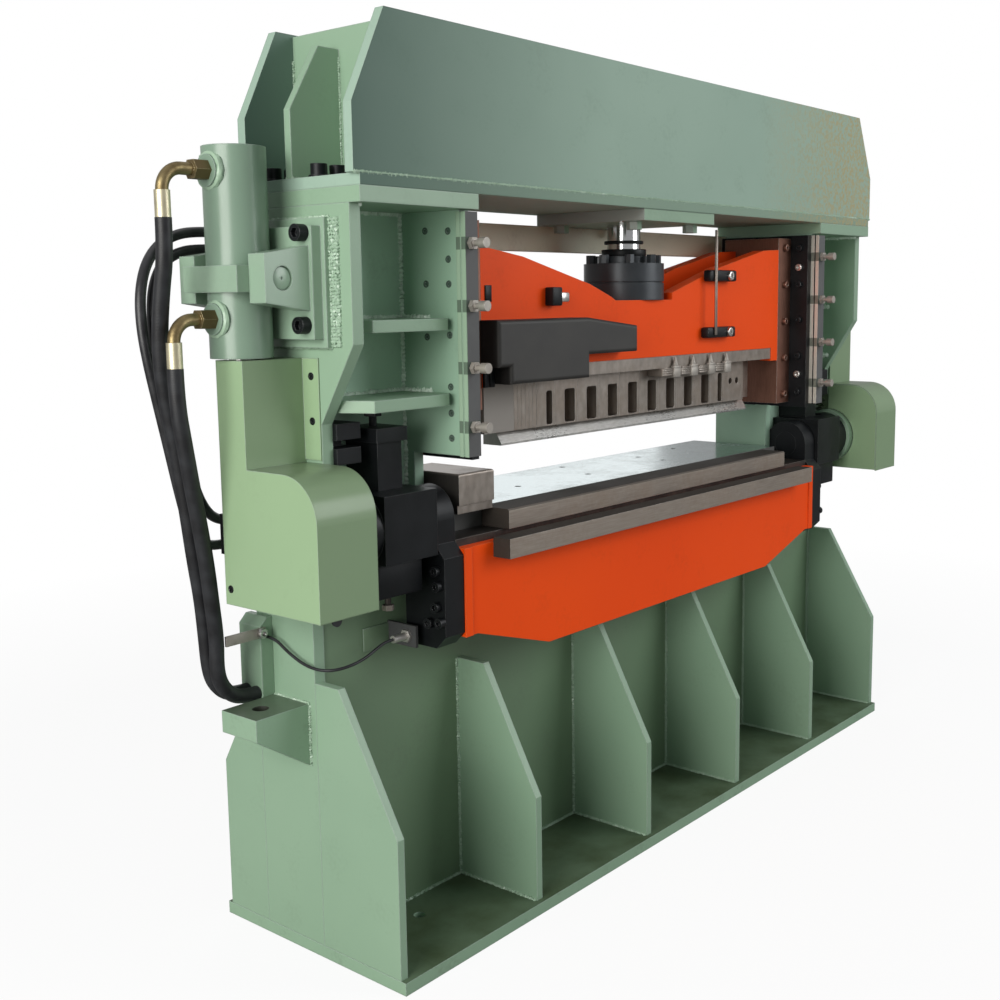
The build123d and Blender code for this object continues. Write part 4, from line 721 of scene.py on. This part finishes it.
def weldBead(start, end, size, seed):
    # one drop, repeated along the seam so that the drops overlap, then made uneven
    unpick()
    bpy.ops.mesh.primitive_uv_sphere_add(segments=6, ring_count=4, radius=size)
    bead = bpy.context.object
    bpy.ops.object.mode_set(mode="EDIT")
    bpy.ops.mesh.select_all(action="SELECT")
    bpy.ops.transform.resize(value=(0.85, 1, 1), center_override=(0, 0, 0))
    bpy.ops.object.mode_set(mode="OBJECT")
    run = Vector(end) - Vector(start)
    row = bead.modifiers.new("row", "ARRAY")
    row.count = max(2, round(run.length / (size * 1.15)))
    row.use_relative_offset = False
    row.use_constant_offset = True
    row.constant_offset_displace = (run.length / (row.count - 1), 0, 0)
    bpy.ops.object.modifier_apply(modifier="row")
    bpy.ops.object.mode_set(mode="EDIT")
    bpy.ops.mesh.select_all(action="SELECT")
    bpy.ops.transform.vertex_random(offset=size * 0.5, seed=seed)
    bpy.ops.object.mode_set(mode="OBJECT")
    bead.location = start
    bead.rotation_euler = run.to_track_quat("X", "Z").to_euler()
    return bead


# plate faces on the right, in metres
innerWall = 0.869
outerWall = 1.17
sideFace = 1.2
endRib = 1.18
endPlate = 1.053
webFace = -0.016
plateFace = -0.04
ribFront = -0.288
clampFace = -0.143
baseTop = 0.03
headLow = 1.705
flangeTop = 1.764
shelfTops = (1.291, 1.463)
beamFaces = (-0.21, 0.125)
gussetFaces = (-0.026, -0.006)
ribFaces = [rib + side for rib in (0.24, 0.72) for side in (-0.01, 0.01)]
welds = {
    # seams on the right, mirrored to the left
    "columnWelds": {"size": 0.0085, "finish": "seam", "lines":
        [((wall, webFace, 0.93), (wall, webFace, 1.7)) for wall in (innerWall, outerWall)]
        + [((innerWall, webFace, headLow), (outerWall, webFace, headLow)),
           ((outerWall, webFace, headLow), (outerWall, -0.2, headLow))]
        + [((innerWall, webFace, top), (outerWall, webFace, top)) for top in shelfTops]
        + [((wall, webFace, top), (wall, -0.106, top))
           for top in shelfTops for wall in (innerWall, outerWall)]},
    "baseWelds": {"size": 0.006, "lines":
        [((face, plateFace, baseTop), (face, plateFace, 0.6)) for face in ribFaces]
        + [((face, plateFace, baseTop), (face, ribFront, baseTop)) for face in ribFaces]
        + [((endRib, plateFace, baseTop), (endRib, plateFace, 0.65)),
           ((endRib, plateFace, baseTop), (endRib, ribFront, baseTop)),
           ((0, plateFace, baseTop), (endRib, plateFace, baseTop))]},
    "beamWelds": {"size": 0.0044, "lines":
        [((0, -0.2345, flangeTop), (1.21, -0.2345, flangeTop)),
         ((0, 0.1495, flangeTop), (1.194, 0.1495, flangeTop)),
         ((endPlate, beamFaces[0], flangeTop), (endPlate, beamFaces[1], flangeTop))]
        + [((endPlate, face, 1.766), (endPlate, face, 2.04)) for face in beamFaces]
        + [((endPlate, face, 1.766), (endPlate, face, 2.03)) for face in gussetFaces]
        + [((1.055, face, flangeTop), (1.194, face, flangeTop)) for face in gussetFaces]},
    "lugWelds": {"size": 0.005, "lines":
        [((sideFace, -0.02, 0.605), (sideFace, 0.094, 0.605)),
         ((sideFace, -0.023, 0.462), (sideFace, -0.023, 0.604))]},
    "padEdgeWelds": {"size": 0.0055, "lines":
        [((sideFace, -0.14, rise), (sideFace, 0.18, rise)) for rise in (1.678, 1.407)]
        + [((sideFace, 0.184, 1.41), (sideFace, 0.184, 1.675))]},
    "padFrontWelds": {"size": 0.0062, "lines":
        [((sideFace, face, 1.412), (sideFace, face, 1.673)) for face in (-0.144, -0.152, -0.16, -0.167)]},
}
for name, spec in welds.items():
    beads = []
    for number, (start, end) in enumerate(spec["lines"]):
        for side in (1, -1):
            ends = [(side * x, y, z) for x, y, z in (start, end)]
            beads.append(weldBead(*ends, spec["size"], number))
    settled(joined(beads), name, spec.get("finish", "weld"), "machine_frame")
print("weld beads laid:", len(welds), "groups")

capScrew = {"sides": 20, "radius": 0.0115, "high": 0.011, "rim": 0.0012, "socket": 0.0058, "deep": 0.006}
flushScrew = {"sides": 16, "radius": 0.0085, "high": 0.0014, "rim": 0.0004, "socket": 0.0048, "deep": 0.0013}
plateRows = [(-0.1695, rise) for rise in (1.659, 1.596, 1.54, 1.424, 1.305, 1.244, 1.186)]
plateRows += [(-0.0975, rise) for rise in (1.662, 1.541, 1.419)]
railRow = {"across": 0.8153, "along": -0.176, "screws": (1.659, 1.54, 1.424, 1.305, 1.186),
           "set": (1.596, 1.244)}
slideRow = {"across": 0.774, "left": (1.66, 1.54, 1.42, 1.3), "right": (1.66, 1.54, 1.42, 1.3, 1.18)}
coverScrews = {
    "coverStripScrews": [(-1.203, -0.072, 1.345), (-1.203, -0.072, 1.248)],
    "coverSideScrew": [(-1.362, 0.027, 0.893)],
}
capModel = screwModel(capScrew)
flushModel = screwModel(flushScrew)
for side, word in ((-1, "left"), (1, "right")):
    places = [(side * innerWall, y, z) for y, z in plateRows]
    spread(word + "PlateScrews", flushModel, places, (side, 0, 0), "sunk", "machine_frame")
    places = [(side * railRow["across"], railRow["along"], z) for z in railRow["screws"]]
    spread(word + "RailScrews", capModel, places, (-side, 0, 0), "black", "machine_frame")
    places = [(side * railRow["across"], railRow["along"], z) for z in railRow["set"]]
    spread(word + "RailSetScrews", capModel, places, (-side, 0, 0), "bright", "machine_frame")
    places = [(side * slideRow["across"], clampFace, z) for z in slideRow[word]]
    spread(word + "SlideScrews", capModel, places, (0, -1, 0), "slide", "clamp_beam")
for name, places in coverScrews.items():
    spread(name, flushModel, places, (-1, 0, 0), "black", "machine_frame")
print("screws placed")

# sheets that close the inner side of the two covers, cut round the bearing eye
closing = {
    "leftClosingSheet": {"side": -1, "front": -0.257, "low": 0.861, "high": 1.154},
    "rightClosingSheet": {"side": 1, "front": -0.285, "low": 0.885, "high": 1.184},
}
sheetForm = {"thick": 0.003, "rear": -0.1, "corner": 0.097, "eyeRadius": 0.0965, "eyeAt": (-0.103, 1.0)}
for name, spec in closing.items():
    face = spec["side"] * sideFace
    front, high = spec["front"], spec["high"]
    inner, outer = sorted((face, face + spec["side"] * sheetForm["thick"]))
    sheet = roundBlock((inner, front, spec["low"]), (outer, sheetForm["rear"], high), 0)
    choose(sheet, "EDGE", lambda a, b: max(a.y, b.y) < front + 0.001 and min(a.z, b.z) > high - 0.001)
    bpy.ops.mesh.bevel(offset=sheetForm["corner"], segments=14)
    unpick()
    bpy.ops.mesh.primitive_cylinder_add(vertices=64, radius=sheetForm["eyeRadius"], depth=0.05,
                                        location=(face, *sheetForm["eyeAt"]), rotation=(0, math.pi / 2, 0))
    cutter = bpy.context.object
    unpick()
    sheet.select_set(True)
    bpy.context.view_layer.objects.active = sheet
    eye = sheet.modifiers.new("eye", "BOOLEAN")
    eye.object = cutter
    eye.operation = "DIFFERENCE"
    bpy.ops.object.modifier_apply(modifier="eye")
    bpy.data.objects.remove(cutter)
    settled(sheet, name, "cover", "machine_frame")

# tab on the front plate, blocks under the bearing housings
tab = {"low": (-1.049, -0.0435, 0.693), "high": (-0.964, plateFace, 0.748), "edge": 0.0012}
settled(roundBlock(**tab), "plateTab", "lowGreen", "machine_frame")
# the black blocks also stand as painted shade in the dark space under the housings
foot = {"reach": (0.975, 1.112), "front": -0.168, "rear": -0.041, "low": 0.845, "high": 0.925, "edge": 0.004}
for side, word in ((-1, "left"), (1, "right")):
    near, far = sorted(side * reach for reach in foot["reach"])
    block = roundBlock((near, foot["front"], foot["low"]), (far, foot["rear"], foot["high"]), foot["edge"])
    settled(block, word + "HousingFoot", "black", "machine_frame")

# buffer inside the left cover, stop screw under the left housing
turned = {
    "coverBuffer": {"sides": 24, "radius": 0.0125, "high": 0.006, "rim": 0.002, "socket": 0.007,
                    "deep": 0.005, "at": (-1.314, -0.257, 0.857), "way": (0, 1, 0), "finish": "hose",
                    "slot": "rubber"},
    "stopScrewShank": {"sides": 20, "radius": 0.0075, "high": 0.036, "rim": 0.001, "socket": 0.003,
                       "deep": 0.0005, "at": (-1.05, -0.13, 0.846), "way": (0, 0, -1), "finish": "rail",
                       "slot": "bright_steel"},
    "stopScrewHead": {"sides": 6, "radius": 0.014, "high": 0.013, "rim": 0.0015, "socket": 0.006,
                      "deep": 0.001, "at": (-1.05, -0.13, 0.82), "way": (0, 0, -1), "finish": "tool",
                      "slot": "bright_steel"},
}
for name, spec in turned.items():
    model = screwModel(spec)
    spread(name, model, [spec["at"]], spec["way"], spec["finish"], "machine_frame")
    bpy.data.objects.remove(model)

# shim between the left gib bars, bracket bars beside the drive unit
shim = {"low": (-0.8808, -0.2211, 1.147), "high": (-0.868, -0.2169, 1.699), "edge": 0.0003}
settled(roundBlock(**shim), "leftGibShim", "green", "machine_frame")
unitBar = {"low": (0, -0.152, 1.293), "high": (0.017, clampFace, 1.352), "edge": 0.002}
unitBars = [movedBlock(unitBar, start) for start in (-0.731, -0.71)]
settled(joined(unitBars), "unitBars", "black", "clamp_beam")

# rod with two clamps and a sensor pair on the front plate of the clamp beam
padFace = -0.172
pads = {
    "upperRodClamp": {"low": (0.268, padFace, 1.549), "high": (0.418, clampFace, 1.583), "edge": 0.006},
    "lowerRodClamp": {"low": (0.255, padFace, 1.381), "high": (0.414, clampFace, 1.413), "edge": 0.006},
    "beamSensor": {"low": (-0.488, padFace, 1.486), "high": (-0.45, clampFace, 1.533), "edge": 0.004},
    "slotPlate": {"low": (-0.717, -0.146, 1.498), "high": (-0.694, clampFace, 1.538), "edge": 0.0012},
}
for name, spec in pads.items():
    settled(roundBlock(**spec), name, "black", "clamp_beam")
plug = {"low": (-0.45, -0.166, 1.495), "high": (-0.412, -0.146, 1.52), "edge": 0.005}
settled(roundBlock(**plug), "sensorPlug", "bright", "clamp_beam")
clampScrew = {"sides": 24, "radius": 0.0135, "high": 0.008, "rim": 0.0015, "socket": 0.007, "deep": 0.005}
clampModel = screwModel(clampScrew)
places = [(0.375, padFace, 1.566), (0.373, padFace, 1.397)]
spread("rodClampScrews", clampModel, places, (0, -1, 0), "bright", "clamp_beam")
rod = {"place": (0.288, -0.1765), "low": 1.39, "high": 1.7, "radius": 0.0045, "rim": 0.001, "sides": 20}
settled(roundBar(**rod), "sensorRod", "tool", "clamp_beam")

# four clamps for the tool segments, on the front of the holder
segmentClamps = {
    "starts": (0.041, 0.137, 0.236, 0.329),
    "jaw": {"low": (0, -0.15, 1.276), "high": (0.052, -0.098, 1.3), "edge": 0.002},
    "ridge": {"low": (0.003, -0.1525, 1.2785), "high": (0.05, -0.149, 1.2821), "edge": 0.0008},
    "ridgeRises": (0, 0.0062, 0.0124, 0.0186),
    "block": {"low": (0.053, -0.156, 1.271), "high": (0.089, -0.098, 1.3), "edge": 0.004},
    "lip": {"low": (0.053, -0.156, 1.296), "high": (0.089, -0.141, 1.307), "edge": 0.004},
    "knob": {"foot": 0.009, "tip": 0.002, "high": 0.026, "rim": 0.0008, "at": (0.068, -0.1485, 1.319)},
}
knobForm = segmentClamps["knob"]
jaws, blocks, knobs = [], [], []
for start in segmentClamps["starts"]:
    jaws.append(movedBlock(segmentClamps["jaw"], start))
    jaws += [movedBlock(segmentClamps["ridge"], start, rise) for rise in segmentClamps["ridgeRises"]]
    blocks += [movedBlock(segmentClamps[word], start) for word in ("block", "lip")]
    unpick()
    x, y, z = knobForm["at"]
    bpy.ops.mesh.primitive_cone_add(vertices=20, radius1=knobForm["foot"], radius2=knobForm["tip"],
                                    depth=knobForm["high"], location=(start + x, y, z))
    knob = bpy.context.object
    bpy.ops.object.transform_apply(location=True, rotation=True, scale=True)
    choose(knob, "EDGE", lambda a, b: abs(a.z - b.z) < 0.001)
    bpy.ops.mesh.bevel(offset=knobForm["rim"], segments=2)
    bpy.ops.object.mode_set(mode="OBJECT")
    knobs.append(knob)
settled(joined(jaws), "segmentClampJaws", "tool", "clamp_beam")
settled(joined(blocks), "segmentClampBlocks", "zinc", "clamp_beam")
settled(joined(knobs), "segmentClampKnobs", "zinc", "clamp_beam")

# plugs over the trunnion pins, weld rings round the ports, a bar that holds the hoses
pinPlug = {"sides": 32, "radius": 0.0235, "high": 0.003, "rim": 0.0012, "socket": 0.0032, "deep": 0.002}
plugModel = screwModel(pinPlug)
places = [(side * 1.31, -0.114, 1.552) for side in (-1, 1)]
spread("pinPlugs", plugModel, places, (0, -1, 0), "glossGreen", "machine_frame")
ports = {"across": 1.3715, "along": 0.022, "rises": (1.47, 1.772), "radius": 0.034, "bead": 0.0075,
         "uneven": 0.0022}
portRings = []
for side in (-1, 1):
    for rise in ports["rises"]:
        unpick()
        place = (side * ports["across"], ports["along"], rise)
        bpy.ops.mesh.primitive_torus_add(location=place, rotation=(0, math.pi / 2, 0), major_segments=28,
                                         minor_segments=8, major_radius=ports["radius"],
                                         minor_radius=ports["bead"])
        ring = bpy.context.object
        bpy.ops.object.mode_set(mode="EDIT")
        bpy.ops.mesh.select_all(action="SELECT")
        bpy.ops.transform.vertex_random(offset=ports["uneven"], seed=len(portRings))
        bpy.ops.object.mode_set(mode="OBJECT")
        portRings.append(ring)
settled(joined(portRings), "portWelds", "weld", "machine_frame")
clip = {"low": (-1.334, 0.0905, 0.746), "high": (-1.224, 0.097, 0.77), "edge": 0.0015}
settled(roundBlock(**clip), "hoseClipBar", "zinc", "machine_frame")
places = [(-1.238, clip["low"][1], 0.758)]
spread("hoseClipScrew", capModel, places, (0, -1, 0), "bright", "machine_frame")

# rings round the ram
ramAxis = (0, -0.0425)
rings = {
    "ramWiper": {"radius": 0.056, "low": 1.655, "high": 1.664, "rim": 0.0015, "sides": 64},
    "ramLockRing": {"radius": 0.064, "low": 1.62, "high": 1.64, "rim": 0.0015, "sides": 64},
}
for name, spec in rings.items():
    settled(roundBar(ramAxis, **spec), name, "black", "clamp_beam")
print("detail pieces made")
for model in (capModel, flushModel, clampModel, plugModel):
    bpy.data.objects.remove(model)

stage = {"floorSize": 60.0, "pale": (0.90, 0.90, 0.895, 1), "patch": (0.94, 0.94, 0.935, 1),
         "dim": (0.3, 0.3, 0.29, 1), "whiteShare": 0.9, "sky": (0.95, 0.98, 1, 1), "worldLight": 0.26,
         "mirrored": 0.4}
unpick()
bpy.ops.mesh.primitive_plane_add(size=stage["floorSize"], location=(0, 0, -0.001))
floor = bpy.context.object
floor.name = "studioFloor"
ground = Finish("paleFloor", {"Roughness": 0.7, "Specular IOR Level": 0.2})
far = ground.node("ShaderNodeVectorMath", {"operation": "LENGTH"}, {0: ground.place})[1].held(0.5, -1.1)
grain = ground.noise(3.0, 4.0)
tone = ground.mix(grain.held(1.0, 0.0), stage["pale"], stage["patch"])
seen = ground.node("ShaderNodeLightPath", {}, {})[0]  # only the camera sees the pale floor
tone = ground.mix(seen, stage["dim"], tone)
white = ground.node("ShaderNodeEmission", {}, {"Color": (1, 1, 1, 1), "Strength": 1.0})[0]
ground.done(tone)
share = (far * (1 - stage["whiteShare"]) + stage["whiteShare"]).held() * seen  # the rest shows the shadow
painted = Wire(ground, ground.shader.outputs[0])
blendWhite = ground.node("ShaderNodeMixShader", {}, {0: share, 1: painted, 2: white})[0]
ground.tree.links.new(blendWhite.socket, ground.tree.nodes["Material Output"].inputs["Surface"])
floor.data.materials.append(ground.material)

world = bpy.data.worlds.new("paleStudio")
bpy.context.scene.world = world
world.use_nodes = True
sky = world.node_tree
rays = sky.nodes.new("ShaderNodeLightPath")
shade = sky.nodes["Background"]
shade.inputs["Color"].default_value = stage["sky"]
shade.inputs["Strength"].default_value = stage["worldLight"]
layers = {"Is Glossy Ray": stage["mirrored"], "Is Camera Ray": 1.0}
for ray, strength in layers.items():
    # each ray kind sees its own level, white for the camera
    shown = sky.nodes.new("ShaderNodeBackground")
    shown.inputs["Color"].default_value = (1, 1, 1, 1)
    shown.inputs["Strength"].default_value = strength
    pick = sky.nodes.new("ShaderNodeMixShader")
    sky.links.new(rays.outputs[ray], pick.inputs[0])
    sky.links.new(shade.outputs[0], pick.inputs[1])
    sky.links.new(shown.outputs[0], pick.inputs[2])
    shade = pick
sky.links.new(shade.outputs[0], sky.nodes["World Output"].inputs["Surface"])

lamps = {
    "keyLeft": {"at": (-6.5, -0.9, 2.5), "aim": (-0.6, 0, 1.0), "size": 4.0, "power": 365,
                "tint": (1, 0.99, 0.95)},
    "frontFill": {"at": (3.4, -5.4, 3.6), "aim": (0.4, 0, 1.4), "size": 4.0, "power": 225,
                  "tint": (0.97, 0.99, 1)},
    "topSoft": {"at": (0, 0.5, 6.5), "aim": (0, 0, 0), "size": 5.0, "power": 40, "tint": (1, 1, 1)},
    "rearRim": {"at": (4.5, 5.0, 3.5), "aim": (0, 0, 1.0), "size": 4.0, "power": 48, "tint": (0.97, 0.99, 1)},
}
for name, spec in lamps.items():
    lamp = bpy.data.lights.new(name, "AREA")
    lamp.shape = "SQUARE"
    lamp.size = spec["size"]
    lamp.energy = spec["power"]
    lamp.color = spec["tint"]
    holder = bpy.data.objects.new(name, lamp)
    holder.location = spec["at"]
    holder.rotation_euler = (Vector(spec["aim"]) - Vector(spec["at"])).to_track_quat("-Z", "Y").to_euler()
    bpy.context.scene.collection.objects.link(holder)

view = {"at": (-2.9855, -2.1558, 1.5092), "yaw": 50.81, "pitch": 7.95, "roll": -0.61, "focal": 1253.7,
        "middle": (539.4, 471.8), "image": 1000.0}
yaw, pitch, roll = (math.radians(view[key]) for key in ("yaw", "pitch", "roll"))
ahead = Vector((math.sin(yaw) * math.cos(pitch), math.cos(yaw) * math.cos(pitch), -math.sin(pitch)))
level = Vector((math.cos(yaw), -math.sin(yaw), 0))
upright = level.cross(ahead)
right = level * math.cos(roll) + upright * math.sin(roll)
up = upright * math.cos(roll) - level * math.sin(roll)
lens = bpy.data.cameras.new("photoCamera")
lens.sensor_width = 36.0
lens.lens = view["focal"] * lens.sensor_width / view["image"]
lens.shift_x = 0.5 - view["middle"][0] / view["image"]
lens.shift_y = view["middle"][1] / view["image"] - 0.5
lens.clip_end = 200
camera = bpy.data.objects.new("photoCamera", lens)
camera.location = view["at"]
camera.rotation_euler = Matrix((right, up, -ahead)).transposed().to_euler()
bpy.context.scene.collection.objects.link(camera)
bpy.context.scene.camera = camera
bpy.context.scene.view_settings.view_transform = "Standard"
print("stage, lamps and camera set")
